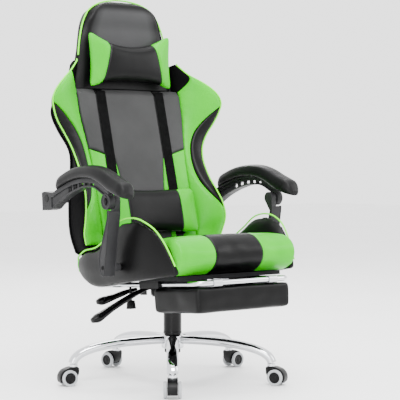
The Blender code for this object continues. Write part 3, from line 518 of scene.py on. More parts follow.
def arc(centre, radius, start, stop, count):
    """Points of an arc, with its angles in degrees."""
    a = np.radians(np.linspace(start, stop, count))
    return [(centre[0] + radius * c, centre[1] + radius * s) for c, s in zip(np.cos(a), np.sin(a))]


def at_x(outline, x):
    """A (forward, up) outline as points at x."""
    return np.column_stack([np.full(len(outline), x), outline])


def at_height(outline, height):
    """An (x, forward) outline as points at a height."""
    return np.column_stack([outline, np.full(len(outline), height)])


def to_world(part, mapping):
    """(vertices, faces) with the vertices mapped."""
    verts, faces = part
    return mapping(np.asarray(verts, float)), faces


# ---------------------------------------------------------------- base and casters

LEG_ANGLES = [36.76 + 72 * i for i in range(5)]
CASTER_TOE = (0.0, -9.0, -14.0, 12.0, 9.0)
CASTER_CIRCLE = 0.320
CASTER_TRAIL, WHEEL_RADIUS = 0.020, 0.025
LEG_LOW, LEG_HIGH, LEG_BEND = 0.052, 0.1285, 2.8  # centre line heights, power of its curve
LEG_START, LEG_STOP, LEG_TALL = 0.0305, 0.3219, 0.027


def about_column(angle, centre=0.0):
    """A mapping that turns a drawing made facing forward, and moves it out along a leg."""
    def mapping(p):
        p = np.asarray(p, float)
        c, s = math.cos(math.radians(angle[0])), math.sin(math.radians(angle[0]))
        ct, st = math.cos(math.radians(sum(angle))), math.sin(math.radians(sum(angle)))
        f = p[..., 1] * ct + p[..., 0] * st + centre * c
        r = p[..., 1] * st - p[..., 0] * ct + centre * s
        return np.stack([-r, -f, p[..., 2]], -1)
    return mapping


def leg_height(radius):
    """The leg's centre line: a superellipse, flat at the hub and steep at the caster."""
    share = np.minimum(radius / (CASTER_CIRCLE + 0.0035), 1.0)
    return LEG_LOW + (LEG_HIGH - LEG_LOW) * (1 - share**LEG_BEND) ** (1 / LEG_BEND)


def leg_part():
    """One leg: an even oval bar, drawn facing forward."""
    share = np.sin(np.linspace(0.09, 1.0, 46)**0.75 * math.pi / 2)
    radii = LEG_START + (LEG_STOP - LEG_START) * (share - share[0]) / (share[-1] - share[0])
    path = np.stack([np.zeros_like(radii), radii, leg_height(radii)], -1)
    sections = []
    for r in radii:
        taper = r / radii[-1]
        wide = min(0.040 - 0.006 * taper, 0.031 + (r - 0.030) * 0.4)
        sections.append(oval(wide, LEG_TALL - 0.001 * taper, 36, 2.7))
    return lofted(swept(path, sections))


def build_base():
    parts = [turned(eased([(0.0, 0.1002), (0.030, 0.1002), (0.0345, 0.103), (0.035, 0.139),
                           (0.0335, 0.1428), (0.0, 0.1428)], 0.003), (0, 0, 0), count=64)]
    for angle in LEG_ANGLES:
        parts.append(to_world(leg_part(), about_column((angle, 0.0))))
        end = about_column((angle, 0.0), CASTER_CIRCLE)(np.zeros(3))
        collar = eased([(0.0, 0.0535), (0.0105, 0.0535), (0.0125, 0.056), (0.0125, 0.066),
                        (0.0, 0.066)], 0.002)
        parts.append(turned(collar, end, count=40))
    add_piece("star_base_skin", *merged(parts), "chrome", "base", "chrome", ["star_base"],
              sharp=50)


def hood_part():
    wheel = (CASTER_TRAIL, WHEEL_RADIUS)
    outline = arc(wheel, 0.0292, -26, 74, 16)
    outline += [(0.0185, 0.0562), (0.012, 0.0572), (-0.008, 0.0572), (-0.0125, 0.0545),
                (-0.0138, 0.049), (-0.0125, 0.036), (-0.006, 0.023), (0.002, 0.0150),
                (0.012, 0.0112), (0.024, 0.0108), (0.034, 0.0118)]
    return slab(outline, -0.0157, 0.0157, 0.0022, 4)


def stem_part():
    return turned(eased([(0.0, 0.0560), (0.0088, 0.0560), (0.0088, 0.0602), (0.0056, 0.0610),
                         (0.0054, 0.0838), (0.0, 0.0840)], 0.0012), (0, 0, 0), count=32)


def wheel_parts(side):
    """The grey tyre ring and the black hub disc of one wheel."""
    middle = np.array([0.0, CASTER_TRAIL, WHEEL_RADIUS])
    tyre = [(0.0, 0.0166), (0.0205, 0.0166), (0.0235, 0.0170), (0.0249, 0.0188),
            (0.0249, 0.0243), (0.0240, 0.0258), (0.0222, 0.0266), (0.0190, 0.0266),
            (0.0176, 0.0258), (0.0172, 0.0240), (0.0, 0.0238)]
    disc = [(0.0, 0.0236), (0.0168, 0.0236), (0.0168, 0.0256), (0.0158, 0.0264), (0.0125, 0.0265),
            (0.0118, 0.0259), (0.0060, 0.0257), (0.0048, 0.0264), (0.0, 0.0265)]
    return [turned(eased(profile, 0.0008, 2), middle, (side, 0, 0), 64)
            for profile in (tyre, disc)]


def build_casters():
    for number, (angle, toe) in enumerate(zip(LEG_ANGLES, CASTER_TOE), start=1):
        place = about_column((angle, toe), CASTER_CIRCLE)
        body = f"caster_{number}"
        add_piece(f"{body}_hood_shell", *to_world(hood_part(), place), "nylon", body, "nylon",
                  [f"{body}_hood"], sharp=50)
        add_piece(f"{body}_stem", *to_world(stem_part(), place), "chrome", body, "chrome",
                  sharp=50)
        for name, side in (("left", 1), ("right", -1)):
            tyre, disc = [to_world(part, place) for part in wheel_parts(side)]
            wheel = f"{body}_wheel_{name}"
            add_piece(f"{wheel}_tyre", *tyre, "wheel", wheel, "wheel", [wheel], sharp=60)
            add_piece(f"{wheel}_disc", *disc, "nylon", wheel, "nylon", sharp=40)


def build_column():
    lower = [(0.0, 0.1436), (0.0262, 0.1436), (0.0270, 0.1450), (0.0268, 0.2495), (0.0, 0.2495)]
    add_piece("column_sleeve_lower", *turned(eased(lower), (0, 0, 0), count=64), "gloss", "base",
              "nylon", ["column_cover_lower"], sharp=50)
    upper = [(0.0278, 0.1475), (0.0290, 0.1475), (0.0292, 0.1490), (0.0290, 0.1530),
             (0.0284, 0.1545), (0.0284, 0.2560), (0.0291, 0.2580), (0.0291, 0.2618),
             (0.0200, 0.2618), (0.0200, 0.2540), (0.0278, 0.2540)]
    verts, faces = turned(eased(upper + upper[:1], 0.0008, 2), (0, 0, 0), count=64)
    ring = verts[:-2], [face for face in faces if len(face) == 4]
    add_piece("column_sleeve_upper", *ring, "gloss", "mechanism", "nylon",
              ["column_cover_upper"], sharp=50)


# ---------------------------------------------------------------- levers and footrest

def lever_part(stations):
    """A bent lever through stations (x, forward, up, width along forward, height)."""
    rows = smoothed(stations, 8)
    sections = [oval(wide, tall, 28, 2.6) for wide, tall in rows[:, 3:]]
    return lofted(swept(rows[:, :3], sections, (0, 1, 0), 0.002))


LEVER_FORWARD, LEVER_AXIS_Z = -0.050, 0.2925
RECLINE_LEVER_FORWARD = -0.105
KNOB_PLACE = (-0.100, -0.088, 0.243)


def build_levers():
    f = LEVER_FORWARD
    handle = lever_part([(-0.030, f, LEVER_AXIS_Z, 0.010, 0.009), (-0.065, f, 0.2905, 0.012, 0.011),
                         (-0.105, f, 0.279, 0.016, 0.016), (-0.150, f + 0.002, 0.261, 0.018, 0.019),
                         (-0.200, f + 0.006, 0.240, 0.021, 0.020),
                         (-0.240, f + 0.010, 0.222, 0.030, 0.024),
                         (-0.262, f + 0.012, 0.212, 0.033, 0.026),
                         (-0.280, f + 0.013, 0.2065, 0.021, 0.016)])
    shaft = slab(oval(0.008, 0.008, 20, 3.0) + (-0.030, LEVER_AXIS_Z), f - 0.006, 0.0055, 0.001)
    shaft = (np.asarray(shaft[0])[:, [1, 0, 2]], shaft[1])
    finger = slab([(-0.005, 0.2903), (0.005, 0.2903), (0.005, 0.2947), (-0.005, 0.2947)],
                  -0.033, 0.006, 0.0008)
    parts = merged([handle, shaft, finger])
    add_piece("height_lever_handle", *to_world(parts, level), "gloss", "height_lever", "nylon",
              ["height_lever"], sharp=50)

    f = RECLINE_LEVER_FORWARD
    lever = lever_part([(-0.066, f, 0.289, 0.014, 0.012), (-0.090, f, 0.286, 0.015, 0.014),
                        (-0.120, f, 0.279, 0.018, 0.018), (-0.150, f, 0.271, 0.020, 0.019),
                        (-0.180, f, 0.264, 0.029, 0.024), (-0.200, f, 0.260, 0.031, 0.025),
                        (-0.214, f, 0.2585, 0.019, 0.015)])
    add_piece("recline_lever_handle", *to_world(lever, level), "gloss", "recline_lever", "nylon",
              ["recline_lever"], sharp=50)

    profile = eased([(0.0, -0.0135), (0.0148, -0.0135), (0.0158, -0.0115), (0.0126, 0.012),
                     (0.004, 0.0145), (0.004, 0.0715), (0.0, 0.0715)], 0.0014)
    verts, faces = turned(profile, KNOB_PLACE, count=72)
    verts = np.asarray(verts)
    middle = np.array(KNOB_PLACE[:2])
    offset = verts[:, :2] - middle
    radius = np.linalg.norm(offset, axis=1)
    waves = np.sin(18 * np.arctan2(offset[:, 1], offset[:, 0]))
    ridge = 1 + 0.035 * waves * (radius > 0.009) - 0.03
    verts[:, :2] = middle + offset * ridge[:, None]
    add_piece("tension_knob_grip", *to_world((verts, faces), level), "nylon", "tension_knob",
              "nylon", ["tension_knob"], sharp=50)


RAIL_X, RAIL_Z, RAIL_RADIUS = 0.174, 0.309, 0.0079
RAIL_REAR, BAR_FORWARD, RAIL_CORNER = -0.156, 0.356, 0.032


def build_rails():
    corner = arc((RAIL_X - RAIL_CORNER, BAR_FORWARD - RAIL_CORNER), RAIL_CORNER, 0, 90, 16)
    half = [(RAIL_X, f) for f in np.linspace(RAIL_REAR, 0.31, 12)] + corner
    half += [(0.12, BAR_FORWARD), (0.06, BAR_FORWARD)]
    route = half + [(-x, f) for x, f in reversed(half)]
    part = tube([(x, f, RAIL_Z) for x, f in route], RAIL_RADIUS, 28)
    add_piece("footrest_tube", *to_world(part, level), "chrome", "footrest_rails", "chrome",
              ["footrest_rails"], sharp=60)


# ---------------------------------------------------------------- stuffing

CLOTH_GROWTH, CLOTH_STEPS = 0.02, 20


def spread_evenly(values, edges, rounds):
    """values at the vertices, averaged with their neighbours' over a number of rounds."""
    count = np.bincount(edges.ravel(), minlength=len(values))[:, None]
    for _ in range(rounds):
        total = np.zeros_like(values)
        np.add.at(total, edges[:, 0], values[edges[:, 1]])
        np.add.at(total, edges[:, 1], values[edges[:, 0]])
        values = 0.5 * values + 0.5 * total / np.maximum(count, 1)
    return values


def evaluated(obj):
    """A new mesh of the object as its modifiers make it."""
    graph = bpy.context.evaluated_depsgraph_get()
    return bpy.data.meshes.new_from_object(obj.evaluated_get(graph))


def places(mesh):
    """The mesh's vertices as an array."""
    return np.array([v.co for v in mesh.vertices])


def blown_up(obj, start, pressure, pinned):
    """Where a short cloth simulation, without gravity, takes the object's vertices."""
    cloth = obj.modifiers.new("cloth", "CLOTH")
    cloth.settings.quality = 5
    cloth.settings.mass = 0.3
    cloth.settings.use_pressure = True
    cloth.settings.uniform_pressure_force = pressure
    cloth.settings.effector_weights.gravity = 0.0
    cloth.settings.shrink_min = -CLOTH_GROWTH
    group = obj.vertex_groups.new(name="pins")
    group.add([int(i) for i in np.nonzero(pinned(start))[0]], 1.0, "REPLACE")
    cloth.settings.vertex_group_mass = "pins"
    for step in range(1, CLOTH_STEPS + 1):
        bpy.context.scene.frame_set(step)
    end = places(evaluated(obj))
    obj.modifiers.clear()
    bpy.context.scene.frame_set(1)
    return end


def stuffed(part, voxel, pressure, cap, pinned):
    """A cushion's form, remeshed, then filled by a simulation that moves it by cap at most."""
    obj = to_scene("stuffing", mesh_of("stuffing", part))
    remesh = obj.modifiers.new("remesh", "REMESH")
    remesh.mode = "VOXEL"
    remesh.voxel_size = voxel
    even = obj.modifiers.new("even", "SMOOTH")
    even.iterations = 2
    shape = evaluated(obj)
    obj.modifiers.clear()
    obj.data = shape
    start = places(shape)
    move = blown_up(obj, start, pressure, pinned) - start
    far = np.linalg.norm(move, axis=1)
    move *= (np.tanh(far / cap) * cap / np.maximum(far, 1e-9))[:, None]
    move = spread_evenly(move, np.array([e.vertices[:] for e in shape.edges]), 24)
    shape.vertices.foreach_set("co", (start + move).ravel())
    finer = obj.modifiers.new("finer", "SUBSURF")
    finer.levels = 1
    smooth = evaluated(obj)
    verts, faces = places(smooth), [tuple(p.vertices) for p in smooth.polygons]
    bpy.data.objects.remove(obj, do_unlink=True)
    return verts, faces


def seamed(part, seams, depth=0.003, reach=0.0035):
    """Cut along planes (point, normal), with a sunk seam along each; returns the cut mesh."""
    bm = bmesh.new()
    bm.from_mesh(mesh_of("seamed", part, outward=False))
    for point, normal in seams:
        bmesh.ops.bisect_plane(bm, geom=bm.verts[:] + bm.edges[:] + bm.faces[:], dist=1e-5,
                               plane_co=point, plane_no=normal)
    bm.normal_update()
    verts = np.array([v.co for v in bm.verts])
    normals = np.array([v.normal for v in bm.verts])
    faces = [tuple(v.index for v in f.verts) for f in bm.faces]
    bm.free()
    sink = np.zeros(len(verts))
    for point, normal in seams:
        normal = np.asarray(normal, float) / np.linalg.norm(normal)
        off = np.abs((verts - np.asarray(point)) @ normal)
        sink = np.maximum(sink, np.exp(-(off / reach)**2))
    return verts - normals * (depth * sink)[:, None], faces


def zones(part, pick):
    """The material index of every face, from its middle."""
    verts = np.asarray(part[0])
    return [int(pick(verts[list(face)].mean(0))) for face in part[1]]


def rounded_slices(half, radius, count):
    """Places across a pad that get closer towards its sides, with the inset of the outline at
    each, which rounds the sides off."""
    for share in np.linspace(-1, 1, count):
        x = half * math.sin(share * math.pi / 2)
        over = max(0.0, abs(x) - (half - radius))
        yield x, radius - math.sqrt(max(radius**2 - over**2, 0.0))


def tucked(rings, ends, run):
    """Shrink chosen rings about their middles, (index, share), but not along axis run."""
    for end, share in ends:
        scale = np.full(3, share)
        scale[run] = 1.0
        middle = rings[end].mean(0)
        rings[end] = middle + (rings[end] - middle) * scale
    return rings


def mirrored_seams(x, lean):
    """A pair of seam planes at x and -x, which lean outwards with height."""
    return [((x, 0, 0), (1, 0, lean)), ((-x, 0, 0), (1, 0, -lean))]


# ---------------------------------------------------------------- seat

PIPING_RADIUS = 0.0026
SEAT_HALF, SEAT_ROUND, SEAT_BOTTOM, STRIPE_HALF = 0.2085, 0.014, 0.3322, 0.090
FLARE, FLARE_START = 0.055, 0.24  # the cushion widens towards its nose
BOLSTER_INNER, BOLSTER_SEAM = 0.2104, -0.158
SEAT_TOP = ((-0.122, 0.4085), (-0.02, 0.4165), (0.10, 0.4285), (0.22, 0.4425), (0.30, 0.4438))
BOLSTER_OUTER = ((-0.172, 0.242), (-0.12, 0.254), (0.0, 0.265), (0.14, 0.269), (0.24, 0.257),
                 (0.325, 0.229))
BOLSTER_RIDGE = ((-0.172, 0.397), (-0.12, 0.417), (-0.03, 0.430), (0.05, 0.470), (0.10, 0.500),
                 (0.158, 0.509), (0.22, 0.494), (0.27, 0.458), (0.30, 0.413), (0.325, 0.360))
BOLSTER_LOW = ((-0.172, 0.366), (-0.150, 0.344), (-0.10, 0.318), (0.10, 0.318), (0.325, 0.334))


def seat_outline():
    """The seat cushion's side outline, as (forward, up) points."""
    nose = arc((0.290, 0.388), 0.0545, -60, 76, 16)
    top = [(f, along(SEAT_TOP, f)) for f in np.linspace(0.285, -0.104, 20)]
    rear = arc((-0.108, 0.396), 0.0125, 96, 180, 5)
    return np.array([(f, 0.3325) for f in np.linspace(-0.110, 0.296, 16)] + nose + top + rear
                    + [(-0.1205, 0.372), (-0.1205, 0.346), (-0.118, 0.336)])


def build_seat_cushion():
    outline = seat_outline()
    rings = []
    for x, inset in rounded_slices(SEAT_HALF, SEAT_ROUND, 41):
        ring = inset_outline(outline, inset + 0.001)
        ring[:, 1] += 0.003 * math.cos(x / SEAT_HALF * math.pi / 2) * (ring[:, 1] > 0.38)
        flare = np.clip((ring[:, 0] - FLARE_START) / 0.08, 0, 1)
        wide = x * (1 + FLARE * flare**2 * (3 - 2 * flare))
        rings.append(at_x(ring, wide))
    part = stuffed(lofted(rings), 0.0055, 3.0, 0.005, lambda p: p[:, 2] < 0.336)
    part[0][:, 2] = np.maximum(part[0][:, 2], SEAT_BOTTOM)
    part = seamed(part, mirrored_seams(STRIPE_HALF, 0))
    colour = zones(part, lambda p: abs(p[0]) > STRIPE_HALF)
    seat = add_piece("seat_upholstery", *to_world(part, level), ["black", "green"], "seat",
                     "black_leather", ["seat_cushion"], colour)


def bolster_row(forward):
    """A bolster's cross-section, as (x, up) points, and the place of its ridge."""
    outer, ridge, low = (along(k, forward) for k in (BOLSTER_OUTER, BOLSTER_RIDGE, BOLSTER_LOW))
    inner, wide = BOLSTER_INNER, outer - BOLSTER_INNER
    ridge_x = outer - 0.17 * wide
    middle = low + 0.58 * (ridge - low)
    valley = min(0.404, ridge - 0.014)
    corners = [(inner, low + 0.002, 0.003, 0.0), (outer - 0.002, low + 0.001, 0.012, 0.0),
               (outer - 0.001, middle, 0.10, 0.0), (ridge_x, ridge - 0.001, 0.012, 0.006),
               (inner, valley, 0.004, 0.0)]
    return section(corners, 6, 7), (ridge_x, ridge)


def build_bolsters():
    stations = np.concatenate([[-0.170, -0.164], np.linspace(-0.155, 0.312, 34),
                               [0.319, 0.3235]])
    rings, ridge_line = [], []
    for forward in stations:
        ring, (ridge_x, ridge) = bolster_row(forward)
        rings.append(np.column_stack([ring[:, 0], np.full(len(ring), forward), ring[:, 1]]))
        ridge_line.append((ridge_x + 0.0012, forward, ridge + 0.0004))
    part = lofted(tucked(rings, ((0, 0.90), (-1, 0.86)), 1))
    part = stuffed(part, 0.005, 2.0, 0.003, lambda p: p[:, 2] < 0.34)
    part = seamed(part, [((0, BOLSTER_SEAM, 0), (0, 1, 0))], 0.002, 0.003)
    colour = zones(part, lambda p: p[1] < BOLSTER_SEAM)
    for name, side in (("left", 1), ("right", -1)):
        mirrored = (part[0] * (side, 1, 1), part[1])
        bolster = add_piece(f"seat_bolster_skin_{name}", *to_world(mirrored, level),
                            ["black", "green"], "seat", "black_leather",
                            [f"seat_bolster_{name}"], colour)
        line = np.array(ridge_line)[1:] * (side, 1, 1)
        corner = line[0] + [(-0.002 * side, -0.004, -0.008), (-0.004 * side, -0.006, -0.024),
                            (-0.006 * side, -0.006, -0.045)]
        pipe = tube(np.concatenate([corner[::-1], line]), PIPING_RADIUS, smooth=2)
        add_piece(f"seat_piping_{name}", *to_world(pipe, level), "piping", "seat",
                  "green_leather")


PAD_HALF, PAD_ROUND = 0.1762, 0.009
PAD_LOW, PAD_HIGH = (0.1380, 0.2252), (0.3565, 0.2965)  # forward, up


def build_footrest_pad():
    rings = []
    for x, inset in rounded_slices(PAD_HALF, PAD_ROUND, 33):
        rear, front = PAD_LOW[0] + inset, PAD_HIGH[0] - inset
        low, high = PAD_LOW[1] + inset, PAD_HIGH[1] - inset
        corners = [(f, z, PAD_ROUND, 0.0)
                   for f, z in ((rear, low), (front, low), (front, high), (rear, high))]
        ring = section(corners, 5, 10)
        rings.append(at_x(ring, x))
    part = stuffed(lofted(rings), 0.005, 4.0, 0.0035, lambda p: p[:, 2] > 0.293)
    pad = add_piece("footrest_upholstery", *to_world(part, level), "black", "footrest_pad",
                    "black_leather", ["footrest_pad"])


# ---------------------------------------------------------------- backrest

PANEL_FRONT, FOAM_REAR, SHELL_FRONT = 0.069, 0.0008, -0.0220
NECK_BEND = ((0.475, 0.0), (0.508, 0.004), (0.54, 0.014), (0.57, 0.025), (0.60, 0.038),
             (0.63, 0.050), (0.66, 0.060), (0.69, 0.068), (0.72, 0.073), (0.75, 0.075))
SHELL_HALF = ((0.035, 0.235), (0.10, 0.247), (0.20, 0.238), (0.30, 0.216), (0.38, 0.208),
              (0.45, 0.240), (0.51, 0.256), (0.56, 0.236), (0.62, 0.182), (0.674, 0.155),
              (0.735, 0.141), (0.78, 0.128), (0.825, 0.094), (0.848, 0.058), (0.856, 0.030))
SHELL_DEPTH = ((0.035, 0.020), (0.07, 0.034), (0.20, 0.034), (0.38, 0.020), (0.50, 0.026),
               (0.62, 0.016), (0.83, 0.014), (0.856, 0.006))
CREASE_HALF = ((0.04, 0.182), (0.20, 0.186), (0.33, 0.187), (0.41, 0.194), (0.47, 0.201),
               (0.52, 0.203), (0.57, 0.203), (0.60, 0.197), (0.63, 0.189), (0.66, 0.184))
WING_EDGE_HALF = ((0.048, 0.262), (0.08, 0.273), (0.117, 0.277), (0.16, 0.272), (0.21, 0.261),
                  (0.25, 0.254), (0.29, 0.2515), (0.33, 0.2535), (0.373, 0.264), (0.41, 0.284),
                  (0.45, 0.313), (0.48, 0.328), (0.508, 0.334), (0.535, 0.322), (0.555, 0.304),
                  (0.58, 0.275), (0.61, 0.237), (0.65, 0.198))
WING_EDGE_FORWARD = ((0.048, 0.078), (0.08, 0.093), (0.117, 0.115), (0.16, 0.122),
                     (0.21, 0.113), (0.25, 0.099), (0.29, 0.087), (0.33, 0.078),
                     (0.373, 0.075), (0.41, 0.080), (0.45, 0.095), (0.48, 0.110),
                     (0.508, 0.122), (0.535, 0.127), (0.555, 0.125), (0.58, 0.116),
                     (0.61, 0.098), (0.65, 0.086))
HEAD_HALF = ((0.568, 0.199), (0.60, 0.194), (0.63, 0.186), (0.66, 0.180), (0.69, 0.174),
             (0.735, 0.165), (0.78, 0.151), (0.80, 0.141), (0.825, 0.121), (0.84, 0.096),
             (0.852, 0.060), (0.8565, 0.030), (0.858, 0.010))
HEAD_FRONT = ((0.568, 0.052), (0.60, 0.0585), (0.63, 0.065), (0.66, 0.0710), (0.69, 0.078),
              (0.735, 0.088), (0.765, 0.095), (0.79, 0.106), (0.82, 0.112), (0.84, 0.109),
              (0.852, 0.103), (0.858, 0.099))
HEAD_PIPING = ((0.67, 0.068), (0.69, 0.069), (0.735, 0.076), (0.78, 0.083), (0.82, 0.090),
               (0.845, 0.094), (0.858, 0.095))
LEAF_EDGE = ((0.150, 1.0), (0.175, 0.84), (0.22, 0.60), (0.28, 0.42), (0.33, 0.37),
             (0.39, 0.40), (0.44, 0.56), (0.475, 0.78), (0.500, 1.0))
LEAF_LOW, LEAF_HIGH = 0.150, 0.500
STRAP_INNER, STRAP_OUTER = 0.0985, 0.1315
STRAP_BACK, STRAP_FRONT = 0.0696, 0.0712
PANEL_LOW, PANEL_HIGH, PANEL_BREAK = 0.055, 0.565, 0.333
WING_LOW, WING_HIGH, GREEN_HIGH, GREEN_RISE = 0.050, 0.652, 0.562, 0.052


def bent(height):
    """How far the back curves forward at its neck."""
    return np.interp(height, *zip(*NECK_BEND))


def bezier(t, points):
    """A cubic curve through the first and last of four points."""
    a, b, c, d = points
    t = np.asarray(t)
    out = [(1 - t)**3 * a[k] + 3 * t * (1 - t)**2 * b[k] + 3 * t**2 * (1 - t) * c[k] + t**3 * d[k]
           for k in range(2)]
    return np.stack(out, -1)


def wing_inside(t, s):
    """(x, forward) of a wing's inner face: t is 0 at the crease and 1 at the ridge."""
    crease = along(CREASE_HALF, s) + 0.001
    half = np.maximum(along(WING_EDGE_HALF, s), crease + 0.014) - 0.003
    ridge = along(WING_EDGE_FORWARD, s) - 0.003
    wide, rise = half - crease, ridge - PANEL_FRONT
    return bezier(t, ((crease, 0 * s + 0.0565), (crease + 0.20 * wide, 0.070 + 0.30 * rise),
                      (half - 0.34 * wide, ridge + 0.006), (half, ridge)))


def wing_ring(s):
    """A wing's outline at one height: inner face, outer side and flat back."""
    inside = wing_inside(np.linspace(0, 1, 14), np.full(14, s))
    half, ridge = inside[-1]
    crease = inside[0, 0]
    rear_half = max(float(along(SHELL_HALF, s)), crease + 0.012)
    rear = float(bent(s)) - 0.0205
    side = bezier(np.linspace(0.08, 1, 12),
                  ((half, ridge), (half + 0.006, ridge - 0.018),
                   (rear_half + 0.008, rear + 0.045), (rear_half, rear + 0.010)))
    back = [(rear_half - 0.003, rear + 0.002), (rear_half - 0.008, rear), (crease + 0.004, rear),
            (crease, rear + 0.004)]
    ring = np.concatenate([inside, side, back])
    return at_height(ring, s)


def piece_pair(name, part, mapping, material, body, slot, replaces=()):
    """A left-hand part and its mirror image; replaces gives the stems of the CAD names."""
    for hand, side in (("left", 1), ("right", -1)):
        verts = np.asarray(part[0], float) * (side, 1, 1)
        if mapping:
            verts = mapping(verts)
        nodes = [f"{stem}_{hand}" for stem in replaces]
        place = body.replace("HAND", hand)
        obj = add_piece(f"{name}_{hand}", verts, part[1], material, place, slot, nodes)


def build_wings():
    heights = np.concatenate([[0.046, 0.049, 0.056], np.linspace(0.07, 0.64, 58), [0.648, 0.652]])
    rings = tucked([wing_ring(s) for s in heights], ((0, 0.86), (1, 0.95), (-1, 0.80)), 2)
    # The wing cores take the side leather, whose lighter base colour is painted sheen.
    piece_pair("wing_core", lofted(rings), upright, "side", "backrest", "black_leather",
               ["backrest_wing"])

    def green(a, b):
        s = WING_LOW + (GREEN_HIGH + GREEN_RISE * a - WING_LOW) * b
        share = np.where((s > LEAF_LOW) & (s < LEAF_HIGH), along(LEAF_EDGE, s), 1.0)
        inside = wing_inside(a * share, s)
        return np.concatenate([inside, s[..., None]], -1)

    def leaf(a, b):
        s = LEAF_LOW + (LEAF_HIGH - LEAF_LOW) * b
        share = along(LEAF_EDGE, s)
        inside = wing_inside(share + a * (1 - share), s)
        return np.concatenate([inside, s[..., None]], -1)

    patch = padded_patch(green, upright, 0.0055, 0.016, 150, 34, wrinkle=0.0004)
    piece_pair("wing_green", patch, None, "green", "backrest", "green_leather")
    patch = padded_patch(leaf, upright, 0.0050, 0.014, 90, 20, wrinkle=0.0004)
    piece_pair("wing_leaf", patch, None, "black", "backrest", "black_leather")
    s = np.linspace(WING_LOW + 0.002, WING_HIGH, 120)
    ridge = wing_inside(np.ones(120), s)
    line = np.column_stack([ridge + (0.0010, 0.0022), s])
    piece_pair("wing_piping", tube(line, PIPING_RADIUS), upright, "piping", "backrest",
               "green_leather")


def front_of_back(x, s):
    """The forward place of the middle panel's face, before its padding."""
    top = np.clip((s - 0.540) / 0.027, 0, 1)
    low = np.clip((0.075 - s) / 0.025, 0, 1)
    return 0.0650 - 0.014 * top**2 * (3 - 2 * top) - 0.006 * low**2 + 0 * x


def panel_patch(x_range, s_range, lift=0.0042, edge=0.009, rows=70, columns=30, crown=0.002):
    """A padded part of the middle panel; x_range(s) and s_range(a) give its edges."""
    def base(a, b):
        low, high = s_range(a)
        s = low + (high - low) * b
        left, right = x_range(s)
        x = left + (right - left) * a
        return np.stack([x, front_of_back(x, s), s], -1)
    return padded_patch(base, upright, lift, edge, rows, columns, 0.010, crown, wrinkle=0.0003)


def green_top(x):
    """Where the green corners end: a line that climbs outwards."""
    return PANEL_BREAK + (x - 0.10) * 0.389


def build_panel():
    rings = []
    for s in np.concatenate([[0.053], np.linspace(0.06, 0.56, 30), [0.566]]):
        half, rear = float(along(CREASE_HALF, s)), float(bent(s)) + FOAM_REAR
        front = float(front_of_back(0.0, s)) - 0.002
        ring = section([(-half, rear, 0.002, 0), (half, rear, 0.002, 0),
                        (half, front, 0.006, 0), (-half, front, 0.006, 0)], 4, 8)
        rings.append(at_height(ring, s))
    verts, faces = lofted(rings)
    core = add_piece("back_core", upright(verts), faces, "black", "backrest", "black_leather",
                     ["backrest_cushion"])

    def strip_half(s):
        grow = 0.002 + 0.165 * np.clip(PANEL_BREAK - s, 0, 0.10)
        return STRAP_INNER - np.where(s < PANEL_BREAK, grow, 0.0005)

    def outer_range(s):
        return 0 * s + STRAP_OUTER, along(CREASE_HALF, s) - 0.001

    def slope(a):
        return green_top(0.131 + 0.045 * a)

    middle = panel_patch(lambda s: (-strip_half(s), strip_half(s)),
                         lambda a: (PANEL_LOW, PANEL_HIGH), rows=110, columns=44)
    add_piece("back_panel_middle", *middle, "grey", "backrest", "grey_leather")
    strip = panel_patch(lambda s: (strip_half(s) + 0.0005, 0 * s + STRAP_INNER),
                        lambda a: (PANEL_LOW, PANEL_BREAK - 0.001), 0.0036, 0.005, 50, 8, 0.0)
    piece_pair("back_strip", strip, None, "green", "backrest", "green_leather")
    side = panel_patch(outer_range, lambda a: (slope(a) + 0.001, PANEL_HIGH))
    piece_pair("back_panel_side", side, None, "grey", "backrest", "grey_leather")
    corner = panel_patch(outer_range, lambda a: (PANEL_LOW, slope(a) - 0.001))
    piece_pair("back_corner", corner, None, "green", "backrest", "green_leather")
    channel = panel_patch(lambda s: (0 * s + STRAP_INNER, 0 * s + STRAP_OUTER),
                          lambda a: (PANEL_LOW, PANEL_HIGH), 0.0015, 0.006, 70, 12, 0.0)
    piece_pair("back_channel", channel, None, "black", "backrest", "black_leather")
    rings = []
    for s in np.linspace(0.076, 0.554, 60):
        ring = section([(STRAP_INNER, STRAP_BACK, 0.0006, 0), (STRAP_OUTER, STRAP_BACK, 0.0006, 0),
                        (STRAP_OUTER, STRAP_FRONT, 0.0006, 0.0002),
                        (STRAP_INNER, STRAP_FRONT, 0.0006, 0)], 3, 4)
        rings.append(at_height(ring, s))
    piece_pair("strap_band", lofted(rings), upright, "strap", "backrest", "strap",
               ["pillow_strap"])


def head_ring(s, share=1.0):
    """The headrest's outline at one height; share below 1 draws it in at the top."""
    half, front = float(along(HEAD_HALF, s)), float(along(HEAD_FRONT, s)) - 0.002
    rear = float(bent(s)) + SHELL_FRONT + 0.001
    side = rear + 0.62 * (front - rear)
    ring = section([(-half, rear, 0.006, 0), (half, rear, 0.006, 0), (half, side, 0.02, 0.003),
                    (half * 0.86, front, 0.05, 0.002), (-half * 0.86, front, 0.05, 0),
                    (-half, side, 0.02, 0)], 7, 9)
    middle = np.array([0.0, 0.4 * front + 0.6 * rear])
    ring = middle + (ring - middle) * (0.5 + 0.5 * share, share)
    return at_height(ring, s)


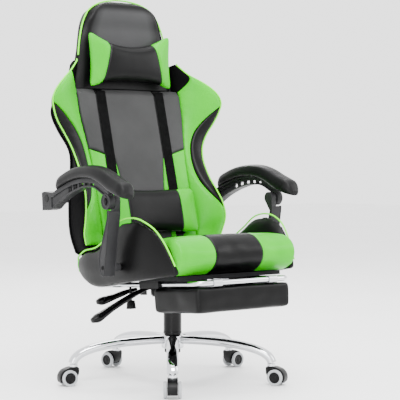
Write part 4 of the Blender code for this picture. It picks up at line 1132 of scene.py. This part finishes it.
def build_head():
    heights = np.concatenate([[0.566, 0.570], np.linspace(0.58, 0.838, 60)])
    rings = [head_ring(s) for s in heights]
    ends = ((0.844, 0.95), (0.849, 0.86), (0.853, 0.72), (0.8555, 0.55), (0.8575, 0.34))
    rings += [head_ring(s, share) for s, share in ends]
    verts, faces = lofted(rings)
    x, forward, s = np.asarray(verts).T
    # The attribute below: grey leather on the front face, faded to black towards the sides, top and
    # bottom as painted shade where the pad curves away.
    out = np.abs(x) / along(HEAD_HALF, s)
    grey = np.clip((0.84 - out) / 0.16, 0, 1) * np.clip((0.834 - s) / 0.028, 0, 1)
    grey *= np.clip((s - 0.655) / 0.03, 0, 1) * (forward > along(HEAD_PIPING, s))
    head = add_piece("head_padding", upright(verts), faces, "head", "backrest", "black_leather",
                     ["headrest_cushion"])
    shade = head.data.attributes.new("grey_with_painted_rim_shade", "FLOAT", "POINT")
    shade.data.foreach_set("value", grey * grey * (3 - 2 * grey))

    s = np.concatenate([np.linspace(0.674, 0.84, 60), [0.846, 0.850, 0.8535, 0.8560]])
    line = np.column_stack([along(HEAD_HALF, s) + 0.0010, along(HEAD_PIPING, s), s])
    top = np.array([(0.020, 0.095, 0.8580), (0.0, 0.095, 0.8585)])
    run = np.concatenate([line, top, mirror_x(top[:1]), mirror_x(line[::-1])])
    add_piece("head_piping", *to_world(tube(run, 0.0028), upright), "piping", "backrest",
              "green_leather")


def build_shell():
    rings = []
    heights = np.concatenate([[0.036, 0.040, 0.047], np.linspace(0.06, 0.835, 70),
                              [0.843, 0.850, 0.855]])
    for s in heights:
        half, depth = float(along(SHELL_HALF, s)) + 0.001, float(along(SHELL_DEPTH, s))
        front = SHELL_FRONT + float(bent(s)) + 0.0022
        ring = section([(-half, front, 0.002, 0), (-half, front - 0.006, 0.006, 0.0),
                        (-half * 0.90, front - depth, 0.03, 0.002),
                        (half * 0.90, front - depth, 0.03, 0.0),
                        (half, front - 0.006, 0.006, 0), (half, front, 0.002, 0)], 6, 9)
        rings.append(at_height(ring, s))
    rings = tucked(rings, ((0, 0.90), (1, 0.96), (-1, 0.85)), 2)
    seams = mirrored_seams(0.13, 0.12) + [((0, 0, 0.60), (0, 0, 1))]
    part = seamed(lofted(rings), seams, 0.0022, 0.004)
    shell = add_piece("back_cover", *to_world(part, upright), "black", "backrest",
                      "black_leather", ["backrest_shell"])


# ---------------------------------------------------------------- pillows

def pillow_part(half, top, bottom, deep, power, stations=33):
    """A stuffed pillow drawn about its middle; top, bottom and deep are tables over |x|."""
    rings = []
    for share in np.linspace(-1, 1, stations):
        x = half * math.sin(share * math.pi / 2)
        high, low, thick = (float(along(k, abs(x))) for k in (top, bottom, deep))
        ring = oval(thick, high - low, 40, power) + (0.0, (high + low) / 2)
        rings.append(at_x(ring, x))
    return lofted(rings)


def pillow_place(forward, height, lean):
    """The mapping from a pillow's own drawing to its place on the back."""
    return lambda p: upright(leaned(np.asarray(p, float), 0.0, 0.0, lean) + (0, forward, height))


HEAD_PILLOW_HALF, HEAD_PILLOW_SEAM, SEAM_LEAN = 0.161, 0.100, 0.243
HEAD_PILLOW_AT, HEAD_PILLOW_LEAN = (0.098, 0.649), math.radians(12)
LUMBAR_HALF, LUMBAR_SEAM, LUMBAR_AT = 0.1715, 0.104, (0.0945, 0.149)


def build_head_pillow():
    """Narrow in the middle, flared to pointed corners, with slanted seams."""
    top = ((0.0, 0.051), (0.05, 0.055), (0.09, 0.064), (0.13, 0.078), (0.152, 0.086),
           (0.159, 0.083), (HEAD_PILLOW_HALF, 0.076))
    bottom = ((0.0, -0.073), (0.06, -0.074), (0.10, -0.077), (0.14, -0.084), (0.153, -0.086),
              (0.159, -0.083), (HEAD_PILLOW_HALF, -0.077))
    deep = ((0.0, 0.050), (0.08, 0.047), (0.13, 0.036), (0.150, 0.026), (0.159, 0.015),
            (HEAD_PILLOW_HALF, 0.008))
    part = stuffed(pillow_part(HEAD_PILLOW_HALF, top, bottom, deep, 2.5), 0.004, 5.0, 0.006,
                   lambda p: np.abs(p[:, 0]) > 0.158)
    x, z = part[0][:, 0], part[0][:, 2]
    ends = (np.abs(x) / HEAD_PILLOW_HALF)**4 * np.clip(1 - (z / 0.086)**2, 0, 1)
    part[0][:, 0] -= np.sign(x) * 0.008 * ends
    part = seamed(part, mirrored_seams(HEAD_PILLOW_SEAM, SEAM_LEAN), 0.0035, 0.0045)
    colour = zones(part, lambda p: abs(p[0]) > HEAD_PILLOW_SEAM - SEAM_LEAN * p[2])
    place = to_world(part, pillow_place(*HEAD_PILLOW_AT, -HEAD_PILLOW_LEAN))
    head = add_piece("head_pillow_cover", *place, ["black", "green"], "head_pillow",
                     "black_leather", ["head_pillow"], colour)


def build_lumbar_pillow():
    top = ((0.0, 0.0700), (0.10, 0.0725), (0.150, 0.0725), (0.166, 0.068), (LUMBAR_HALF, 0.058))
    bottom = tuple((x, -z) for x, z in top)
    deep = ((0.0, 0.037), (0.11, 0.036), (0.150, 0.030), (0.166, 0.020), (LUMBAR_HALF, 0.010))
    part = stuffed(pillow_part(LUMBAR_HALF, top, bottom, deep, 2.8), 0.004, 4.0, 0.003,
                   lambda p: np.abs(p[:, 0]) > 0.169)
    part = seamed(part, mirrored_seams(LUMBAR_SEAM, 0), 0.003, 0.004)
    colour = zones(part, lambda p: abs(p[0]) > LUMBAR_SEAM)
    place = to_world(part, pillow_place(*LUMBAR_AT, 0.0))
    lumbar = add_piece("lumbar_pillow_cover", *place, ["black", "green"], "lumbar_pillow",
                       "black_leather", ["lumbar_pillow"], colour)


# ---------------------------------------------------------------- arms

ARM_X = 0.318
LINK_REAR, LINK_FRONT, LINK_FACE = -0.212, 0.158, 0.3338
FOOT_BOLT = (0.110, 0.3665)
FRONT_PIVOT, REAR_PIVOT = (0.141, 0.560), (-0.1857, 0.5878)
ARCH = ((-0.214, 0.6065), (-0.198, 0.6095), (-0.175, 0.606), (-0.150, 0.603), (-0.128, 0.6105),
        (-0.105, 0.6170), (-0.065, 0.6275), (-0.02, 0.6350), (0.036, 0.6365), (0.085, 0.6290),
        (0.125, 0.6130), (0.160, 0.592), (0.195, 0.576), (0.225, 0.566), (0.240, 0.561))
LINK_TALL = ((-0.214, 0.055), (-0.198, 0.058), (-0.150, 0.050), (-0.128, 0.046), (-0.105, 0.042),
             (-0.065, 0.038), (-0.02, 0.034), (0.036, 0.028), (0.085, 0.027), (0.125, 0.032),
             (0.160, 0.028))
PAD_WIDE = ((-0.128, 0.044), (-0.105, 0.055), (-0.065, 0.060), (-0.02, 0.062), (0.160, 0.062),
            (0.195, 0.062), (0.225, 0.060), (0.240, 0.054))
PAD_TALL = ((-0.128, 0.020), (-0.105, 0.030), (-0.065, 0.034), (-0.02, 0.036), (0.036, 0.037),
            (0.085, 0.039), (0.125, 0.041), (0.160, 0.044), (0.195, 0.044), (0.225, 0.040),
            (0.240, 0.034))
WINDOWS = ((-0.062, -0.043), (-0.034, -0.012), (-0.002, 0.020), (0.030, 0.050), (0.060, 0.078))


def link_strip(start, stop, drop, rise, x_from, x_to, edge=0.001, count=24):
    """Part of the link's side outline, cut down by drop from above and rise from below."""
    f = np.linspace(start, stop, count)
    top, tall = along(ARCH, f), along(LINK_TALL, f)
    upper = np.column_stack([f, top - drop])
    lower = np.column_stack([f, top - tall + rise])
    return slab(np.concatenate([lower, upper[::-1]]), x_from, x_to, edge, 2)


def link_edge(start, stop, at_top, thick, x_from, x_to, count=60):
    """A flange of the link: a strip of even thickness along its top or bottom edge."""
    f = np.linspace(start, stop, count)
    top, tall = along(ARCH, f), along(LINK_TALL, f)
    outer = top if at_top else top - tall
    inner = outer - thick if at_top else outer + thick
    return slab(np.concatenate([np.column_stack([f, outer]), np.column_stack([f, inner])[::-1]]),
                x_from, x_to, 0.0012, 3)


def build_links():
    parts = [link_edge(LINK_REAR, LINK_FRONT, True, 0.0140, 0.3150, LINK_FACE),
             link_edge(LINK_REAR + 0.0005, 0.066, True, 0.0062, 0.3025, 0.3320, 50),
             link_edge(LINK_REAR, 0.146, False, 0.0055, 0.3150, LINK_FACE),
             link_edge(LINK_REAR + 0.0005, 0.066, False, 0.0050, 0.3025, 0.3320, 50)]
    edges = [LINK_REAR] + [f for window in WINDOWS for f in window] + [LINK_FRONT]
    for start, stop in zip(edges[::2], edges[1::2]):
        parts.append(link_strip(start, stop, 0.004, 0.003, 0.3200, 0.3300, 0.0008, 14))
    parts.append(link_strip(-0.2125, -0.158, 0.0006, 0.0006, 0.3030, 0.3334, 0.0012, 14))
    front, up = FRONT_PIVOT
    disc = eased([(0.0104, 0.3150), (0.0238, 0.3150), (0.0240, 0.3340), (0.0205, 0.3340),
                  (0.0200, 0.3322), (0.0135, 0.3322), (0.0130, 0.3335), (0.0104, 0.3335),
                  (0.0104, 0.3150)], 0.0008, 2)
    parts.append(turned(disc, (0, front, up), (1, 0, 0), 64))
    piece_pair("arm_bridge", merged(parts), level, "arm", "arm_link_HAND", "arm_plastic",
               ["arm_link"])
    rear, high = REAR_PIVOT
    boss = turned(eased([(0.0, 0.3300), (0.0130, 0.3300), (0.0130, 0.3345), (0.0105, 0.3348),
                         (0.0, 0.3348)], 0.0008, 2), (0, rear, high), (1, 0, 0), 40)
    piece_pair("arm_rear_boss", boss, level, "nylon", "arm_link_HAND", "arm_plastic")


def build_arm_pads():
    f = np.concatenate([[-0.128, -0.125, -0.121, -0.116], np.linspace(-0.110, 0.205, 50),
                        [0.212, 0.219, 0.225, 0.230, 0.2340, 0.2370]])
    close = np.clip(np.minimum(f + 0.1300, 0.2390 - f) / 0.030, 0, 1)
    close = np.sqrt(1 - (1 - close)**2)
    half = along(PAD_WIDE, f) / 2 * (0.35 + 0.65 * close)
    tall = along(PAD_TALL, f) * (0.15 + 0.85 * close)
    path = np.column_stack([np.full(len(f), ARM_X), f, along(ARCH, f)])
    sections = []
    for w, t in zip(half, tall):
        corners = [(-w * 0.86, 0.0008, t * 0.22, 0.0), (w * 0.86, 0.0008, t * 0.22, 0.0),
                   (w, t * 0.42, t * 0.30, 0.0), (w * 0.70, t, t * 0.55, 0.001),
                   (-w * 0.70, t, t * 0.55, 0.0), (-w, t * 0.42, t * 0.30, 0.0)]
        sections.append(section(corners, 6, 4))
    rings = swept(path, sections, (1, 0, 0), 0.003)
    piece_pair("arm_rest_pad", lofted(rings), level, "pad", "arm_link_HAND", "arm_pad",
               ["arm_pad"])


POST_INNER, POST_OUTER = 0.2935, 0.3325
POST_OUTLINE = ((0.1050, 0.3400), (0.1140, 0.3400), (0.1575, 0.5250), (0.1575, 0.5340),
                (0.1450, 0.5340), (0.1440, 0.5143), (0.1190, 0.4594), (0.0940, 0.4094),
                (0.0890, 0.3824), (0.0960, 0.3500))


def build_posts():
    corners = [(f, z, 0.010, 0.0) for f, z in POST_OUTLINE]
    outline = section(corners, 5, 4)
    parts = [slab(inset_outline(outline, 0.0012), POST_INNER, POST_OUTER, 0.0008, 2)]
    rim = inset_outline(outline, 0.0018)
    rim = np.concatenate([rim, rim[:2]])  # closed
    for x in (POST_INNER + 0.0005, POST_OUTER - 0.0003):
        parts.append(tube(at_x(rim, x), 0.0017, 8))
    front, up = FRONT_PIVOT
    tongue = arc((front, up), 0.0188, -20, 200, 24) + [(0.1445, 0.520), (0.1550, 0.520)]
    parts.append(slab(tongue, 0.2922, 0.3118, 0.001, 3))
    foot = turned(eased([(0.0, 0.2742), (0.0118, 0.2742), (0.0118, 0.2950), (0.0, 0.2950)]),
                  (0, *FOOT_BOLT), (1, 0, 0), 40)
    parts.append(foot)
    piece_pair("arm_upright", merged(parts), level, "arm", "arm_post_HAND", "arm_plastic",
               ["arm_post"])
    bolt = turned(eased([(0.0, 0.3000), (0.0059, 0.3000), (0.0059, 0.3330), (0.0085, 0.3334),
                         (0.0088, 0.3355), (0.0070, 0.3378), (0.0, 0.3384)], 0.0008, 2),
                  (0, front, up), (1, 0, 0), 40)
    piece_pair("arm_front_bolt", bolt, level, "paint", "arm_post_HAND", "black_steel")
    # The foot bolt's hole as a shallow matte near-black cup: painted shade for the hole's depth.
    hole = turned(eased([(0.0, 0.3318), (0.0058, 0.3318), (0.0062, 0.3340), (0.0040, 0.3341),
                         (0.0036, 0.3328), (0.0, 0.3326)], 0.0004, 2),
                  (0, *FOOT_BOLT), (1, 0, 0), 32)
    piece_pair("arm_foot_bolt", hole, level, "hole", "arm_post_HAND", "black_steel")


# ---------------------------------------------------------------- carried-over CAD and setting

MATERIAL_OF_SLOT = {
    "chrome": "chrome", "steel": "steel", "black_steel": "paint", "nylon": "nylon",
    "wheel": "wheel", "wood": "cover", "black_leather": "black", "green_leather": "green",
    "grey_leather": "grey", "strap": "strap", "arm_plastic": "arm", "arm_pad": "pad"}
FLOOR_HALF, WORLD_STRENGTH = 12.0, 2.5
LAMPS = (  # name, place, watts, size
    ("key", (-1.6, -2.6, 3.4), 190.0, 1.4), ("fill", (3.0, -2.2, 2.2), 70.0, 1.8),
    ("low", (-2.9, -2.4, 0.9), 45.0, 1.2), ("rim", (1.6, 2.8, 3.0), 90.0, 1.6),
    ("top", (0.0, -0.2, 3.6), 110.0, 2.0))


def dress_frame():
    """Give every CAD node that stays in view a finished material."""
    slots = {row["node"]: row["material_slot"] for row in frame["record"]["subparts"]}
    for name, obj in frame["nodes"].items():
        for slot in obj.material_slots:
            slot.material = MATS[MATERIAL_OF_SLOT[slots[name]]]


def build_setting():
    """A plain pale floor, an even white surround and soft lamps."""
    x, z = FLOOR_HALF, -0.0002
    corners = [(-x, -x, z), (x, -x, z), (x, x, z), (-x, x, z)]
    floor = to_scene("floor", mesh_of("floor", (corners, [(0, 1, 2, 3)]), outward=False))
    mat, tree, shader, vector = nodes_of("floor_white", (0.93, 0.93, 0.93), 0.55)
    vary_colour(tree, shader, vector, (0.92, 0.92, 0.92), (0.94, 0.94, 0.94), 1.5)
    floor.data.materials.append(mat)

    world = bpy.data.worlds.new("studio")
    bpy.context.scene.world = world
    world.use_nodes = True
    background = world.node_tree.nodes["Background"]
    background.inputs["Color"].default_value = (1.0, 1.0, 1.0, 1.0)
    background.inputs["Strength"].default_value = WORLD_STRENGTH
    for name, place, power, size in LAMPS:
        light = bpy.data.lights.new(name, "AREA")
        light.energy = power
        light.size = size
        lamp = to_scene(name, light)
        lamp.location = place
        aim = Vector((0.0, 0.0, 0.6)) - Vector(place)
        lamp.rotation_euler = aim.to_track_quat("-Z", "Y").to_euler()


LENS, SENSOR = 123.615, 36.0  # mm
CAMERA_PLACE = (-2.578, -3.451, 0.6996)
AIM_ACROSS, AIM_DOWN = 0.020066, 0.031059  # slopes of the view, from level and from the column


def build_camera():
    """A long lens at seat height, 37 degrees to the sitter's right of the front."""
    data = bpy.data.cameras.new("view_camera")
    data.sensor_width = SENSOR
    data.lens = LENS
    data.dof.use_dof = False
    camera = to_scene("view_camera", data)
    camera.location = CAMERA_PLACE
    ahead = Vector((-CAMERA_PLACE[0], -CAMERA_PLACE[1], 0.0)).normalized()
    right = Vector((ahead.y, -ahead.x, 0.0))
    aim = (ahead + right * AIM_ACROSS).normalized()
    aim.z = -AIM_DOWN
    camera.rotation_euler = aim.to_track_quat("-Z", "Y").to_euler()
    bpy.context.scene.camera = camera


build_base()
build_casters()
build_column()
build_levers()
build_rails()
build_seat_cushion()
build_bolsters()
build_footrest_pad()
build_wings()
build_panel()
build_head()
build_shell()
build_head_pillow()
build_lumbar_pillow()
build_links()
build_arm_pads()
build_posts()
dress_frame()
build_setting()
build_camera()
